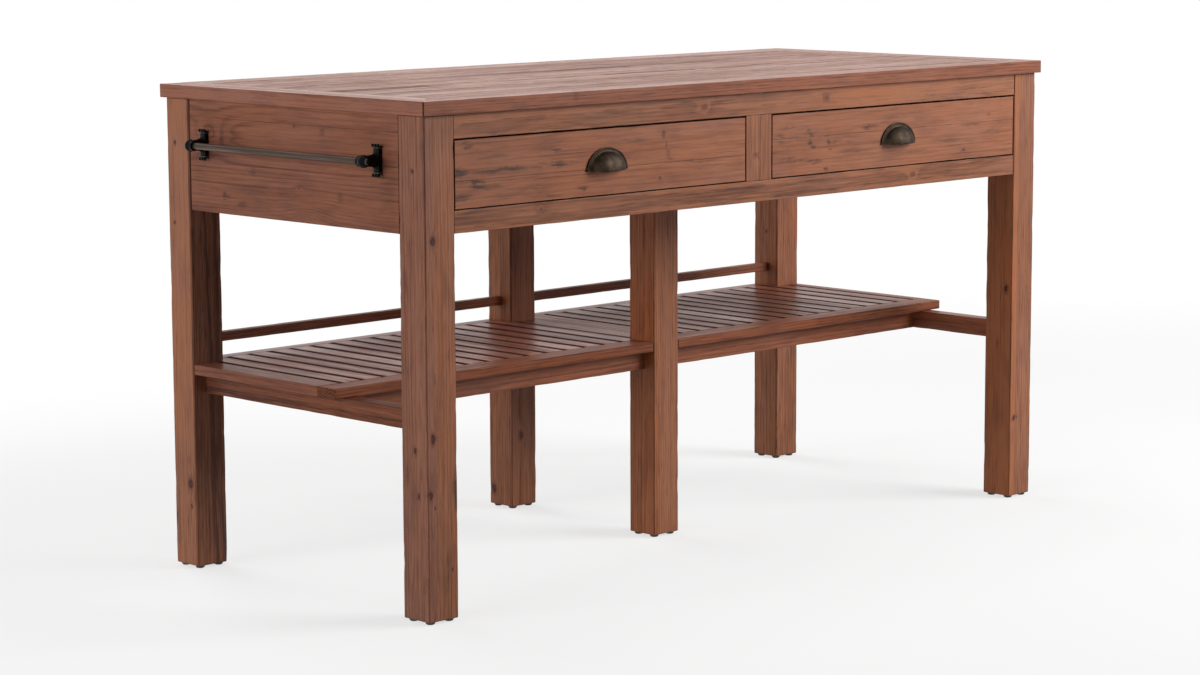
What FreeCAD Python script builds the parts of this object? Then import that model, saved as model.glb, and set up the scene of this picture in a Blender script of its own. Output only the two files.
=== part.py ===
import FreeCAD, Part
import os
from math import sqrt

# A free-standing kitchen island in reclaimed pine: six square legs, a plank worktop in a mitred border,
# two inset drawers with cup pulls, a slatted shelf at the back and a towel bar on the left end.
# Millimetres, +Z up, the drawers face -Y and the towel bar is at -X.

V = FreeCAD.Vector

# Worktop
LENGTH = 1700.0
DEPTH = 745.0
HEIGHT = 914.0
TOP_THICK = 25.0
TOP_OVERHANG = 9.0
TOP_BORDER = 70.0
TOP_EDGE_ROUND = 3.0
PLANK_PROPORTIONS = (152.0, 120.0, 118.0, 114.0, 101.0)
PLANK_EASE = 1.0

# Legs and the nail-on glides under them
LEG = 68.0
LEG_ROUND = 2.0
GLIDE_DIA = 17.0
GLIDE_FACE_DIA = 12.0
GLIDE_HEIGHT = 5.0
GLIDE_INSET = 12.5
GLIDE_BULGE_OUT = 0.85
GLIDE_BULGE_UP = 0.35
NAIL_DIA = 3.0
NAIL_LENGTH = 14.0

# Front rails, end panels and back panels
APRON_HEIGHT = 207.0
APRON_THICK = 22.0
APRON_SETBACK = 1.0
TOP_RAIL_HEIGHT = 43.0
BOTTOM_RAIL_HEIGHT = 40.0
STILE_MARGIN = 1.0
PANEL_TOP_STRIP = 32.0
PANEL_MIDDLE_STRIP = 60.0
GLUE_LINE_DEPTH = 0.8
BOARD_EASE = 1.2
BOARD_EASE_SHARE = 0.2

# Joinery
TENON_LENGTH = 22.0
STUB_LENGTH = 12.0
TENON_THICK = 10.0
TENON_SHOULDER = 7.0

# Slatted shelf and the rails that carry it
SHELF_TOP = 391.0
SHELF_THICK = 19.0
SHELF_DEPTH = 480.0
SHELF_FRONT_BOARD = 50.0
SHELF_BACK_BOARD = 30.0
SHELF_OUTER_END = 51.0
SHELF_JOINT_END = 57.0
SHELF_LAST_MIN = 24.0
SLAT_WIDTH = 43.0
SLOT_WIDTH = 8.0
SLAT_TONGUE = 8.0
SLAT_TONGUE_THICK = 7.0
NOTCH_CLEARANCE = 0.5
STRETCHER_THICK = 32.0
STRETCHER_HEIGHT = 37.0
STRETCHER_INSET = 25.0
SHELF_RAIL_THICK = 22.0
SHELF_RAIL_SETBACK = 26.0

# Gallery rail above the back of the shelf
GALLERY_BAR = 18.0
GALLERY_LIFT = 42.0

# Drawers
DRAWER_GAP = 2.0
DRAWER_FRONT_THICK = 20.0
DRAWER_BACK_ROOM = 143.0
DRAWER_SIDE_THICK = 12.0
DRAWER_SIDE_DROP = 2.0
DRAWER_BACK_THICK = 12.0
DRAWER_BACK_DROP = 6.0
DRAWER_BACK_HOUSING = 5.0
DRAWER_BACK_INSET = 2.0
DRAWER_BOTTOM_THICK = 6.0
DRAWER_BOTTOM_LIFT = 10.0
DRAWER_GROOVE = 6.0
TAIL_COUNT = 3
TAIL_BASE = 20.0
TAIL_LENGTH = 14.0
TAIL_SPREAD = 2.0
RUNNER_WIDTH = 24.0
RUNNER_HEIGHT = 20.0
STOP_SIZE = 20.0

# Wood screws that hold the runners and kickers to the legs, and the worktop to the kickers
SCREW_DIA = 4.5
SCREW_HEAD_DIA = 9.0
SCREW_HEAD = 3.0
SCREW_GRIP = 20.0
WORKTOP_SCREW_GRIP = 15.0

# Cup pulls
PULL_WIDTH = 103.0
PULL_HEIGHT = 42.0
PULL_REACH = 24.0
PULL_FLANGE = 7.5
PULL_FLANGE_THICK = 2.5
PULL_BEAD = 2.0
PULL_BEAD_THICK = 3.5
PULL_WALL = 2.0
PULL_DROP = 16.0
PULL_SCREW_SPACING = 64.0
PULL_SCREW_RISE = 13.0
PULL_BOSS_DIA = 9.0
PULL_SCREW_DIA = 4.0
PULL_SCREW_BITE = 7.0
PULL_SCREW_HEAD_DIA = 8.0
PULL_SCREW_HEAD = 3.0

# Towel bar and its two cast brackets
BAR_DIA = 14.0
BAR_STANDOFF = 36.0
BAR_DROP = 82.0
BRACKET_INSET = 51.5
PLATE_HEIGHT = 59.0
PLATE_WIDTH = 15.0
PLATE_THICK = 5.0
LOBE_DIA = 8.0
LOBE_SPREAD = 7.0
LOBE_STEP = 3.5
LOBE_THICK = 6.0
RIDGE_WIDTH = 17.0
RIDGE_HEIGHT = 3.0
RIDGE_THICK = 6.5
ARM_FOOT_DIA = 26.0
ARM_NECK_DIA = 15.0
KNOB_DIA = 23.0
COLLAR_DIA = 19.0
COLLAR_LENGTH = 13.0
SOCKET_DEPTH = 4.0
BRACKET_SCREW_DIA = 3.5
BRACKET_SCREW_LENGTH = 16.0
BRACKET_SCREW_HEAD_DIA = 6.5
BRACKET_SCREW_HEAD = 2.2
BRACKET_SCREW_PLACE = 8.0

# Clearance round a screw, a nail or the bar in its hole
HOLE_CLEARANCE = 0.1

# Lengths below this count as nothing when edges are picked out
TOLERANCE = 1e-6

# Main faces and heights
OUT_X = LENGTH / 2 - TOP_OVERHANG
OUT_Y = DEPTH / 2 - TOP_OVERHANG
IN_X = OUT_X - LEG
IN_Y = OUT_Y - LEG
STILE_WIDTH = LEG + 2 * STILE_MARGIN
UNDER_TOP = HEIGHT - TOP_THICK
APRON_BOTTOM = UNDER_TOP - APRON_HEIGHT
OPENING_BOTTOM = APRON_BOTTOM + BOTTOM_RAIL_HEIGHT
OPENING_TOP = UNDER_TOP - TOP_RAIL_HEIGHT
APRON_X = OUT_X - APRON_SETBACK
APRON_Y = OUT_Y - APRON_SETBACK
APRON_IN_Y = APRON_Y - APRON_THICK
SHELF_UNDER = SHELF_TOP - SHELF_THICK
SHELF_FRONT = OUT_Y - SHELF_DEPTH
MIDDLE_LEG_BACK = SHELF_FRONT + LEG
STRETCHER_OUT = OUT_X - STRETCHER_INSET
STRETCHER_IN = STRETCHER_OUT - STRETCHER_THICK
RAIL_Z = (SHELF_UNDER - STRETCHER_HEIGHT, SHELF_UNDER)
BAR_X = -APRON_X - BAR_STANDOFF
BAR_Z = UNDER_TOP - BAR_DROP
BRACKET_Y = IN_Y - BRACKET_INSET

# The whole object's box runs from the towel bar's knobs to the worktop's right edge, and from the pulls
# to the worktop's back edge. The origin is at the middle of its bottom.
BOX_LEFT = BAR_X - KNOB_DIA / 2
BOX_FRONT = -APRON_Y - PULL_REACH
ORIGIN = V((BOX_LEFT + LENGTH / 2) / 2, (BOX_FRONT + DEPTH / 2) / 2, 0)

pieces = {}


def block(x, y, z):
    """A plain block between three pairs of limits."""
    low = V(min(x), min(y), min(z))
    return Part.makeBox(max(x) - min(x), max(y) - min(y), max(z) - min(z), low)


def board(x, y, z, ease=BOARD_EASE):
    """A block with every arris eased."""
    solid = block(x, y, z)
    thinnest = min(abs(pair[1] - pair[0]) for pair in (x, y, z))
    return solid.makeChamfer(min(ease, BOARD_EASE_SHARE * thinnest), solid.Edges)


def cylinder(dia, start, end):
    """A round bar between two points."""
    return Part.makeCylinder(dia / 2, start.distanceToPoint(end), start, end - start)


def mirrored_x(shape):
    return shape.mirror(V(0, 0, 0), V(1, 0, 0))


def centred(centre, size):
    return (centre - size / 2, centre + size / 2)


def shouldered(limits):
    """Limits drawn in by the shoulder on both sides, for a tenon."""
    return (min(limits) + TENON_SHOULDER, max(limits) - TENON_SHOULDER)


def middle(limits):
    return (limits[0] + limits[1]) / 2


def tenoned_along_x(x, y, z, left, right):
    """A rail along X with a tenon of the given length at each end, and its two tenons."""
    thick = centred(middle(y), TENON_THICK)
    tenons = (block((x[0] - left, x[0]), thick, shouldered(z)),
              block((x[1], x[1] + right), thick, shouldered(z)))
    return board(x, y, z).fuse(tenons).removeSplitter(), tenons


def tenoned_along_y(x, y, z, length):
    """A rail along Y with a tenon at each end, and its two tenons."""
    thick = centred(middle(x), TENON_THICK)
    tenons = (block(thick, (y[0] - length, y[0]), shouldered(z)),
              block(thick, (y[1], y[1] + length), shouldered(z)))
    return board(x, y, z).fuse(tenons).removeSplitter(), tenons


def mortise(name, *tenons):
    """Cut the mortises or holes that take these tenons or screws."""
    pieces[name] = pieces[name].cut(tenons)


# Six legs with eased arrises, each on four nail-on glides
LEG_CENTRES = {
    "leg_front_left": (-OUT_X + LEG / 2, -OUT_Y + LEG / 2),
    "leg_front_right": (OUT_X - LEG / 2, -OUT_Y + LEG / 2),
    "leg_back_left": (-OUT_X + LEG / 2, OUT_Y - LEG / 2),
    "leg_back_right": (OUT_X - LEG / 2, OUT_Y - LEG / 2),
    "leg_back_middle": (0.0, OUT_Y - LEG / 2),
    "leg_shelf_middle": (0.0, SHELF_FRONT + LEG / 2),
}


def glide(x, y):
    """A domed disc on a nail, turned about its own axis."""
    face, rim = GLIDE_FACE_DIA / 2, GLIDE_DIA / 2
    bulge = V(face + GLIDE_BULGE_OUT * (rim - face), 0, GLIDE_BULGE_UP * GLIDE_HEIGHT)
    dome = Part.Arc(V(face, 0, 0), bulge, V(rim, 0, GLIDE_HEIGHT))
    outline = Part.Wire([Part.LineSegment(V(0, 0, 0), V(face, 0, 0)).toShape(),
                         dome.toShape(),
                         Part.LineSegment(V(rim, 0, GLIDE_HEIGHT), V(0, 0, GLIDE_HEIGHT)).toShape(),
                         Part.LineSegment(V(0, 0, GLIDE_HEIGHT), V(0, 0, 0)).toShape()])
    disc = Part.Face(outline).revolve(V(0, 0, 0), V(0, 0, 1), 360)
    nail = cylinder(NAIL_DIA, V(0, 0, GLIDE_HEIGHT), V(0, 0, GLIDE_HEIGHT + NAIL_LENGTH))
    return disc.fuse(nail).translated(V(x, y, 0))


def leg(x, y, nails):
    solid = block(centred(x, LEG), centred(y, LEG), (GLIDE_HEIGHT, UNDER_TOP))
    upright = [edge for edge in solid.Edges if edge.BoundBox.ZLength > LEG]
    solid = solid.makeFillet(LEG_ROUND, upright)
    worn = [edge for edge in solid.Edges if edge.BoundBox.ZMax < GLIDE_HEIGHT + TOLERANCE]
    solid = solid.makeChamfer(LEG_ROUND / 2, worn)
    holes = [cylinder(NAIL_DIA + 2 * HOLE_CLEARANCE, V(px, py, GLIDE_HEIGHT),
                      V(px, py, GLIDE_HEIGHT + NAIL_LENGTH + HOLE_CLEARANCE)) for px, py in nails]
    return solid.cut(holes)


glides = []
for name, (leg_x, leg_y) in LEG_CENTRES.items():
    reach = LEG / 2 - GLIDE_INSET
    nails = [(leg_x + dx * reach, leg_y + dy * reach) for dx in (-1, 1) for dy in (-1, 1)]
    pieces[name] = leg(leg_x, leg_y, nails)
    glides += [glide(x, y) for x, y in nails]
pieces["foot_glides"] = Part.makeCompound(glides)

# Front frame: a top rail and a bottom rail between the front legs, and a stile between the drawers
FRONT_Y = (-APRON_Y, -APRON_IN_Y)
TOP_RAIL_Z = (OPENING_TOP, UNDER_TOP)
BOTTOM_RAIL_Z = (APRON_BOTTOM, OPENING_BOTTOM)
for name, rail_z in (("front_top_rail", TOP_RAIL_Z), ("front_bottom_rail", BOTTOM_RAIL_Z)):
    pieces[name], tenons = tenoned_along_x((-IN_X, IN_X), FRONT_Y, rail_z, TENON_LENGTH, TENON_LENGTH)
    mortise("leg_front_left", tenons[0])
    mortise("leg_front_right", tenons[1])

stile_x = centred(0.0, STILE_WIDTH)
stub_x = shouldered(stile_x)
stub_y = centred(middle(FRONT_Y), TENON_THICK)
stile_stubs = (block(stub_x, stub_y, (OPENING_TOP, OPENING_TOP + STUB_LENGTH)),
               block(stub_x, stub_y, (OPENING_BOTTOM - STUB_LENGTH, OPENING_BOTTOM)))
stile = board(stile_x, FRONT_Y, (OPENING_BOTTOM, OPENING_TOP))
pieces["front_stile"] = stile.fuse(stile_stubs).removeSplitter()
mortise("front_top_rail", stile_stubs[0])
mortise("front_bottom_rail", stile_stubs[1])


# End panels glued up from three boards, tongued into the legs
def end_panel():
    """The left end panel, with a V at each glue line on its outer face, and its two tongues."""
    x = (-APRON_X, -APRON_X + APRON_THICK)
    panel, tongues = tenoned_along_y(x, (-IN_Y, IN_Y), (APRON_BOTTOM, UNDER_TOP), STUB_LENGTH)
    upper_line = UNDER_TOP - PANEL_TOP_STRIP
    for line_z in (upper_line, upper_line - PANEL_MIDDLE_STRIP):
        points = [V(x[0], -IN_Y, line_z - GLUE_LINE_DEPTH),
                  V(x[0] + GLUE_LINE_DEPTH, -IN_Y, line_z),
                  V(x[0], -IN_Y, line_z + GLUE_LINE_DEPTH)]
        groove = Part.Face(Part.makePolygon(points + points[:1])).extrude(V(0, 2 * IN_Y, 0))
        panel = panel.cut(groove)
    return panel, tongues


pieces["end_panel_left"], tongues = end_panel()
pieces["end_panel_right"] = mirrored_x(pieces["end_panel_left"])
for side, (front_tongue, back_tongue) in (("left", tongues), ("right", [mirrored_x(t) for t in tongues])):
    mortise("leg_front_" + side, front_tongue)
    mortise("leg_back_" + side, back_tongue)

# Back panels, shelf back rails and gallery bars fill the two bays between the back legs
BAYS = (("left", -IN_X, -LEG / 2, "leg_back_left", "leg_back_middle"),
        ("right", LEG / 2, IN_X, "leg_back_middle", "leg_back_right"))
BACK_RAIL_Y = centred(OUT_Y - LEG / 2, SHELF_RAIL_THICK)
GALLERY_Y = centred(OUT_Y - LEG / 2, GALLERY_BAR)
GALLERY_Z = centred(SHELF_TOP + GALLERY_LIFT, GALLERY_BAR)
back_rails = []
for side, bay_left, bay_right, left_leg, right_leg in BAYS:
    bay = (bay_left, bay_right)
    pieces["back_panel_" + side], tongues = tenoned_along_x(
        bay, (APRON_IN_Y, APRON_Y), (APRON_BOTTOM, UNDER_TOP), STUB_LENGTH, STUB_LENGTH)
    back_rail, tenons = tenoned_along_x(bay, BACK_RAIL_Y, RAIL_Z, TENON_LENGTH, TENON_LENGTH)
    back_rails.append(back_rail)
    bar = board((bay_left - STUB_LENGTH, bay_right + STUB_LENGTH), GALLERY_Y, GALLERY_Z)
    pieces["gallery_bar_" + side] = bar
    mortise(left_leg, tongues[0], tenons[0], bar)
    mortise(right_leg, tongues[1], tenons[1], bar)
pieces["shelf_back_rails"] = Part.makeCompound(back_rails)

# Stretchers under the shelf: one at each end and one between the two middle legs
for side, sign in (("left", -1), ("right", 1)):
    x = sorted((sign * STRETCHER_OUT, sign * STRETCHER_IN))
    pieces["stretcher_" + side], tenons = tenoned_along_y(x, (-IN_Y, IN_Y), RAIL_Z, TENON_LENGTH)
    mortise("leg_front_" + side, tenons[0])
    mortise("leg_back_" + side, tenons[1])
pieces["stretcher_middle"], tenons = tenoned_along_y(
    centred(0.0, STRETCHER_THICK), (MIDDLE_LEG_BACK, IN_Y), RAIL_Z, TENON_LENGTH)
mortise("leg_shelf_middle", tenons[0])
mortise("leg_back_middle", tenons[1])

# Front rails of the shelf, from each end stretcher to the middle leg
SHELF_RAIL_Y = (SHELF_FRONT + SHELF_RAIL_SETBACK, SHELF_FRONT + SHELF_RAIL_SETBACK + SHELF_RAIL_THICK)
rail, tenons = tenoned_along_x((-STRETCHER_IN, -LEG / 2), SHELF_RAIL_Y, RAIL_Z, STUB_LENGTH, TENON_LENGTH)
pieces["shelf_front_rails"] = Part.makeCompound([rail, mirrored_x(rail)])
mortise("stretcher_left", tenons[0])
mortise("stretcher_right", mirrored_x(tenons[0]))
mortise("leg_shelf_middle", tenons[1], mirrored_x(tenons[1]))

# Shelf in two halves that meet beside the middle legs. In each half a front board, a back board and two
# end boards frame a row of slats, which run front to back and are tongued into the boards.
SHELF_Z = (SHELF_UNDER, SHELF_TOP)
SHELF_JOINT = LEG / 2 + NOTCH_CLEARANCE
INNER_FRONT = SHELF_FRONT + SHELF_FRONT_BOARD
INNER_BACK = OUT_Y - SHELF_BACK_BOARD


def leg_notches():
    """The room that the shelf leaves round the legs it meets."""
    size = LEG + 2 * NOTCH_CLEARANCE
    names = ("leg_back_left", "leg_back_middle", "leg_back_right", "leg_shelf_middle")
    return [block(centred(LEG_CENTRES[name][0], size), centred(LEG_CENTRES[name][1], size), SHELF_Z)
            for name in names]


def slat(x):
    """One slat with a tongue at each end."""
    solid = board((x, x + SLAT_WIDTH), (INNER_FRONT, INNER_BACK), SHELF_Z)
    tongue_x = centred(x + SLAT_WIDTH / 2, SLAT_WIDTH - 2 * TENON_SHOULDER)
    tongue_z = centred(middle(SHELF_Z), SLAT_TONGUE_THICK)
    tongues = (block(tongue_x, (INNER_FRONT - SLAT_TONGUE, INNER_FRONT), tongue_z),
               block(tongue_x, (INNER_BACK, INNER_BACK + SLAT_TONGUE), tongue_z))
    return solid.fuse(tongues).removeSplitter()


def shelf_half(side, left, right, front_x, back_x, first_end):
    """One half between two limits, laid out from its left side; the last end board takes what is left."""
    pitch = SLAT_WIDTH + SLOT_WIDTH
    room = right - left - first_end - SLOT_WIDTH - SHELF_LAST_MIN
    count = int(room // pitch)
    first_slat = left + first_end + SLOT_WIDTH
    last_end = first_slat + count * pitch
    notches = leg_notches()
    slats = [slat(first_slat + i * pitch).cut(notches) for i in range(count)]
    ends = [board(x, (INNER_FRONT, INNER_BACK), SHELF_Z).cut(notches)
            for x in ((left, left + first_end), (last_end, right))]
    pieces["shelf_front_board_" + side] = board(front_x, (SHELF_FRONT, INNER_FRONT), SHELF_Z).cut(slats)
    pieces["shelf_back_board_" + side] = board(back_x, (INNER_BACK, OUT_Y), SHELF_Z).cut(slats)
    pieces["shelf_end_boards_" + side] = Part.makeCompound(ends)
    pieces["shelf_slats_" + side] = Part.makeCompound(slats)


beside_leg = IN_X - NOTCH_CLEARANCE
shelf_half("left", -OUT_X, SHELF_JOINT, (-OUT_X, -SHELF_JOINT), (-beside_leg, -SHELF_JOINT), SHELF_OUTER_END)
shelf_half("right", SHELF_JOINT, OUT_X, (SHELF_JOINT, OUT_X), (SHELF_JOINT, beside_leg), SHELF_JOINT_END)


# Worktop: four mitred border boards round five planks of uneven width
def border_board(corners):
    """A mitred board from its plan, outer corners first, with its outer edge rounded over."""
    points = [V(x, y, UNDER_TOP) for x, y in corners]
    solid = Part.Face(Part.makePolygon(points + points[:1])).extrude(V(0, 0, TOP_THICK))
    outer = (points[0] + points[1]) / 2
    rounded = [edge for edge in solid.Edges
               if V(edge.CenterOfMass.x, edge.CenterOfMass.y, UNDER_TOP).distanceToPoint(outer) < TOLERANCE]
    solid = solid.makeFillet(TOP_EDGE_ROUND, rounded)
    inner = (points[2] + points[3]) / 2
    eased = [edge for edge in solid.Edges
             if V(edge.CenterOfMass.x, edge.CenterOfMass.y, UNDER_TOP).distanceToPoint(inner) < TOLERANCE]
    return solid.makeChamfer(PLANK_EASE, eased)


hx, hy = LENGTH / 2, DEPTH / 2
ix, iy = hx - TOP_BORDER, hy - TOP_BORDER
pieces["top_border_front"] = border_board([(-hx, -hy), (hx, -hy), (ix, -iy), (-ix, -iy)])
pieces["top_border_right"] = border_board([(hx, -hy), (hx, hy), (ix, iy), (ix, -iy)])
pieces["top_border_back"] = border_board([(hx, hy), (-hx, hy), (-ix, iy), (ix, iy)])
pieces["top_border_left"] = border_board([(-hx, hy), (-hx, -hy), (-ix, -iy), (-ix, iy)])
plank_front = -iy
plank_middles = []
for index, share in enumerate(PLANK_PROPORTIONS, 1):
    plank_back = plank_front + 2 * iy * share / sum(PLANK_PROPORTIONS)
    plank = board((-ix, ix), (plank_front, plank_back), (UNDER_TOP, HEIGHT), PLANK_EASE)
    pieces["top_plank_%d" % index] = plank
    plank_middles.append((plank_front + plank_back) / 2)
    plank_front = plank_back


# Wooden runners under the drawer sides, each with a stop block at its back, and kickers above them. Screws
# go through both into the legs, and up through the kickers into the planks.
RUNNER_TOP = OPENING_BOTTOM + DRAWER_GAP
DRAWER_FACE = -APRON_Y
DRAWER_END = APRON_IN_Y - DRAWER_BACK_ROOM
RUN_Y = (-APRON_IN_Y, APRON_IN_Y)
RUNNER_Z = (RUNNER_TOP - RUNNER_HEIGHT, RUNNER_TOP)
STOP_Z = (RUNNER_TOP, RUNNER_TOP + STOP_SIZE)
RUNNER_PLACES = ((-IN_X, 1, "leg_front_left", "leg_back_left"),
                 (-LEG / 2, -1, "leg_shelf_middle", "leg_back_middle"),
                 (LEG / 2, 1, "leg_shelf_middle", "leg_back_middle"),
                 (IN_X, -1, "leg_front_right", "leg_back_right"))


def wood_screw(seat, along, length):
    """A countersunk screw from its seat along a unit direction, and the hole for it."""
    head = Part.makeCone(SCREW_HEAD_DIA / 2, SCREW_DIA / 2, SCREW_HEAD, seat, along)
    shank = cylinder(SCREW_DIA, seat, seat + along * length)
    drilled = cylinder(SCREW_DIA + 2 * HOLE_CLEARANCE, seat, seat + along * (length + HOLE_CLEARANCE))
    return head.fuse(shank), head.fuse(drilled)


runners, stops, kickers, leg_screws, worktop_screws = [], [], [], [], []
for edge, toward, front_leg, back_leg in RUNNER_PLACES:
    x = sorted((edge, edge + toward * RUNNER_WIDTH))
    stops.append(board(x, (DRAWER_END, DRAWER_END + STOP_SIZE), STOP_Z))
    runner = board(x, RUN_Y, RUNNER_Z)
    kicker = board(x, RUN_Y, TOP_RAIL_Z)
    for holed_leg in (front_leg, back_leg):
        beside = LEG_CENTRES[holed_leg][1]
        screw_y = middle((max(beside - LEG / 2, RUN_Y[0]), min(beside + LEG / 2, RUN_Y[1])))
        for screw_z in (middle(RUNNER_Z), middle(TOP_RAIL_Z)):
            seat = V(edge + toward * RUNNER_WIDTH, screw_y, screw_z)
            screw, hole = wood_screw(seat, V(-toward, 0, 0), RUNNER_WIDTH + SCREW_GRIP)
            leg_screws.append(screw)
            mortise(holed_leg, hole)
            runner = runner.cut(hole)
            kicker = kicker.cut(hole)
    for index, plank_middle in enumerate(plank_middles, 1):
        seat = V(middle(x), plank_middle, OPENING_TOP)
        screw, hole = wood_screw(seat, V(0, 0, 1), TOP_RAIL_HEIGHT + WORKTOP_SCREW_GRIP)
        worktop_screws.append(screw)
        mortise("top_plank_%d" % index, hole)
        kicker = kicker.cut(hole)
    runners.append(runner)
    kickers.append(kicker)
pieces["drawer_runners"] = Part.makeCompound(runners + stops)
pieces["drawer_kickers"] = Part.makeCompound(kickers)
pieces["runner_screws"] = Part.makeCompound(leg_screws)
pieces["worktop_screws"] = Part.makeCompound(worktop_screws)

# Two drawers: a front, two sides dovetailed into it, a housed back and a bottom in grooves
FRONT_BACK = DRAWER_FACE + DRAWER_FRONT_THICK
FRONT_Z = (RUNNER_TOP, OPENING_TOP - DRAWER_GAP)
SIDE_Z = (RUNNER_TOP, OPENING_TOP - DRAWER_GAP - DRAWER_SIDE_DROP)
BOTTOM_Z = (RUNNER_TOP + DRAWER_BOTTOM_LIFT, RUNNER_TOP + DRAWER_BOTTOM_LIFT + DRAWER_BOTTOM_THICK)
BACK_Y = (DRAWER_END - DRAWER_BACK_INSET - DRAWER_BACK_THICK, DRAWER_END - DRAWER_BACK_INSET)
PULL_BOTTOM = middle(FRONT_Z) - PULL_DROP
PULL_SCREW_Z = PULL_BOTTOM + PULL_SCREW_RISE


def drawer_side(x):
    """A side with its lapped dovetails at the front end, before its groove and housing are cut."""
    thick = V(x[1] - x[0], 0, 0)
    solid = board(x, (FRONT_BACK, DRAWER_END), SIDE_Z)
    pitch = (SIDE_Z[1] - SIDE_Z[0]) / TAIL_COUNT
    for i in range(TAIL_COUNT):
        z = SIDE_Z[0] + (i + 0.5) * pitch
        root, tip = TAIL_BASE / 2, TAIL_BASE / 2 + TAIL_SPREAD
        points = [V(x[0], FRONT_BACK, z - root), V(x[0], FRONT_BACK - TAIL_LENGTH, z - tip),
                  V(x[0], FRONT_BACK - TAIL_LENGTH, z + tip), V(x[0], FRONT_BACK, z + root)]
        solid = solid.fuse(Part.Face(Part.makePolygon(points + points[:1])).extrude(thick))
    return solid.removeSplitter()


def half_moon(width, height, thick):
    """A half-ellipse plate on the wall plane y = 0, standing out toward -Y."""
    stretch = FreeCAD.Matrix()
    stretch.scale(width / 2, thick, height)
    whole = Part.makeCylinder(1.0, 1.0, V(0, 0, 0), V(0, -1, 0)).transformGeometry(stretch)
    return whole.common(block((-width, width), (-thick, 0), (0, 2 * height)))


def quarter_dome(width, reach, height):
    """The upper front quarter of an ellipsoid."""
    stretch = FreeCAD.Matrix()
    stretch.scale(width / 2, reach, height)
    whole = Part.makeSphere(1.0).transformGeometry(stretch)
    return whole.common(block((-width, width), (-2 * reach, 0), (0, 2 * height)))


def cup_pull():
    """A hollow half-moon pull, open below: a flat flange with a raised bead, a dome and two screw bosses."""
    dome_width = PULL_WIDTH - 2 * PULL_FLANGE
    dome_height = PULL_HEIGHT - PULL_FLANGE
    outer = quarter_dome(dome_width, PULL_REACH, dome_height)
    inner = quarter_dome(dome_width - 2 * PULL_WALL, PULL_REACH - PULL_WALL, dome_height - PULL_WALL)
    bead = half_moon(PULL_WIDTH, PULL_HEIGHT, PULL_BEAD_THICK).cut(
        half_moon(PULL_WIDTH - 2 * PULL_BEAD, PULL_HEIGHT - PULL_BEAD, PULL_BEAD_THICK))
    flange = half_moon(PULL_WIDTH - 2 * PULL_BEAD, PULL_HEIGHT - PULL_BEAD, PULL_FLANGE_THICK)
    shell = outer.fuse([flange, bead]).cut(inner)
    for x in (-PULL_SCREW_SPACING / 2, PULL_SCREW_SPACING / 2):
        start = V(x, 0, PULL_SCREW_RISE)
        boss = cylinder(PULL_BOSS_DIA, start, start + V(0, -PULL_REACH, 0)).common(outer)
        hole = cylinder(PULL_SCREW_DIA + 2 * HOLE_CLEARANCE, start,
                        start + V(0, -PULL_SCREW_BITE - HOLE_CLEARANCE, 0))
        shell = shell.fuse(boss).cut(hole)
    return shell


def pull_screw(x):
    """A machine screw through the drawer front, with its head inside the drawer."""
    seat = V(x, FRONT_BACK, PULL_SCREW_Z)
    head = cylinder(PULL_SCREW_HEAD_DIA, seat, seat + V(0, PULL_SCREW_HEAD, 0))
    shank = cylinder(PULL_SCREW_DIA, seat, V(x, DRAWER_FACE - PULL_SCREW_BITE, PULL_SCREW_Z))
    return head.fuse(shank)


def drawer(name, left, right):
    """All the pieces of one drawer in the opening between two limits."""
    x = (left + DRAWER_GAP, right - DRAWER_GAP)
    sides = {"left": (x[0], x[0] + DRAWER_SIDE_THICK), "right": (x[1] - DRAWER_SIDE_THICK, x[1])}
    inside = (sides["left"][1], sides["right"][0])
    housed = (inside[0] - DRAWER_BACK_HOUSING, inside[1] + DRAWER_BACK_HOUSING)
    grooved = (inside[0] - DRAWER_GROOVE, inside[1] + DRAWER_GROOVE)
    bottom = block(grooved, (FRONT_BACK, BACK_Y[1]), BOTTOM_Z)
    lip = block(inside, (FRONT_BACK - DRAWER_GROOVE, FRONT_BACK), BOTTOM_Z)
    side_groove = block(grooved, (FRONT_BACK, DRAWER_END), BOTTOM_Z)
    housing = block(housed, BACK_Y, (BOTTOM_Z[1], SIDE_Z[1]))
    pull_x = middle(x)
    screw_x = [pull_x - PULL_SCREW_SPACING / 2, pull_x + PULL_SCREW_SPACING / 2]
    screw_holes = [cylinder(PULL_SCREW_DIA + 2 * HOLE_CLEARANCE, V(sx, DRAWER_FACE, PULL_SCREW_Z),
                            V(sx, FRONT_BACK, PULL_SCREW_Z)) for sx in screw_x]
    face = board(x, (DRAWER_FACE, FRONT_BACK), FRONT_Z).cut([lip] + screw_holes)
    for side, limits in sides.items():
        solid = drawer_side(limits)
        face = face.cut(solid)
        pieces["%s_side_%s" % (name, side)] = solid.cut([side_groove, housing])
    pieces[name + "_front"] = face
    pieces[name + "_back"] = block(housed, BACK_Y, (BOTTOM_Z[1], SIDE_Z[1] - DRAWER_BACK_DROP))
    pieces[name + "_bottom"] = bottom.fuse(lip).removeSplitter()
    pieces[name + "_pull"] = cup_pull().translated(V(pull_x, DRAWER_FACE, PULL_BOTTOM))
    pieces[name + "_pull_screws"] = Part.makeCompound([pull_screw(sx) for sx in screw_x])


drawer("drawer_left", -IN_X, -STILE_WIDTH / 2)
drawer("drawer_right", STILE_WIDTH / 2, IN_X)


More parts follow.
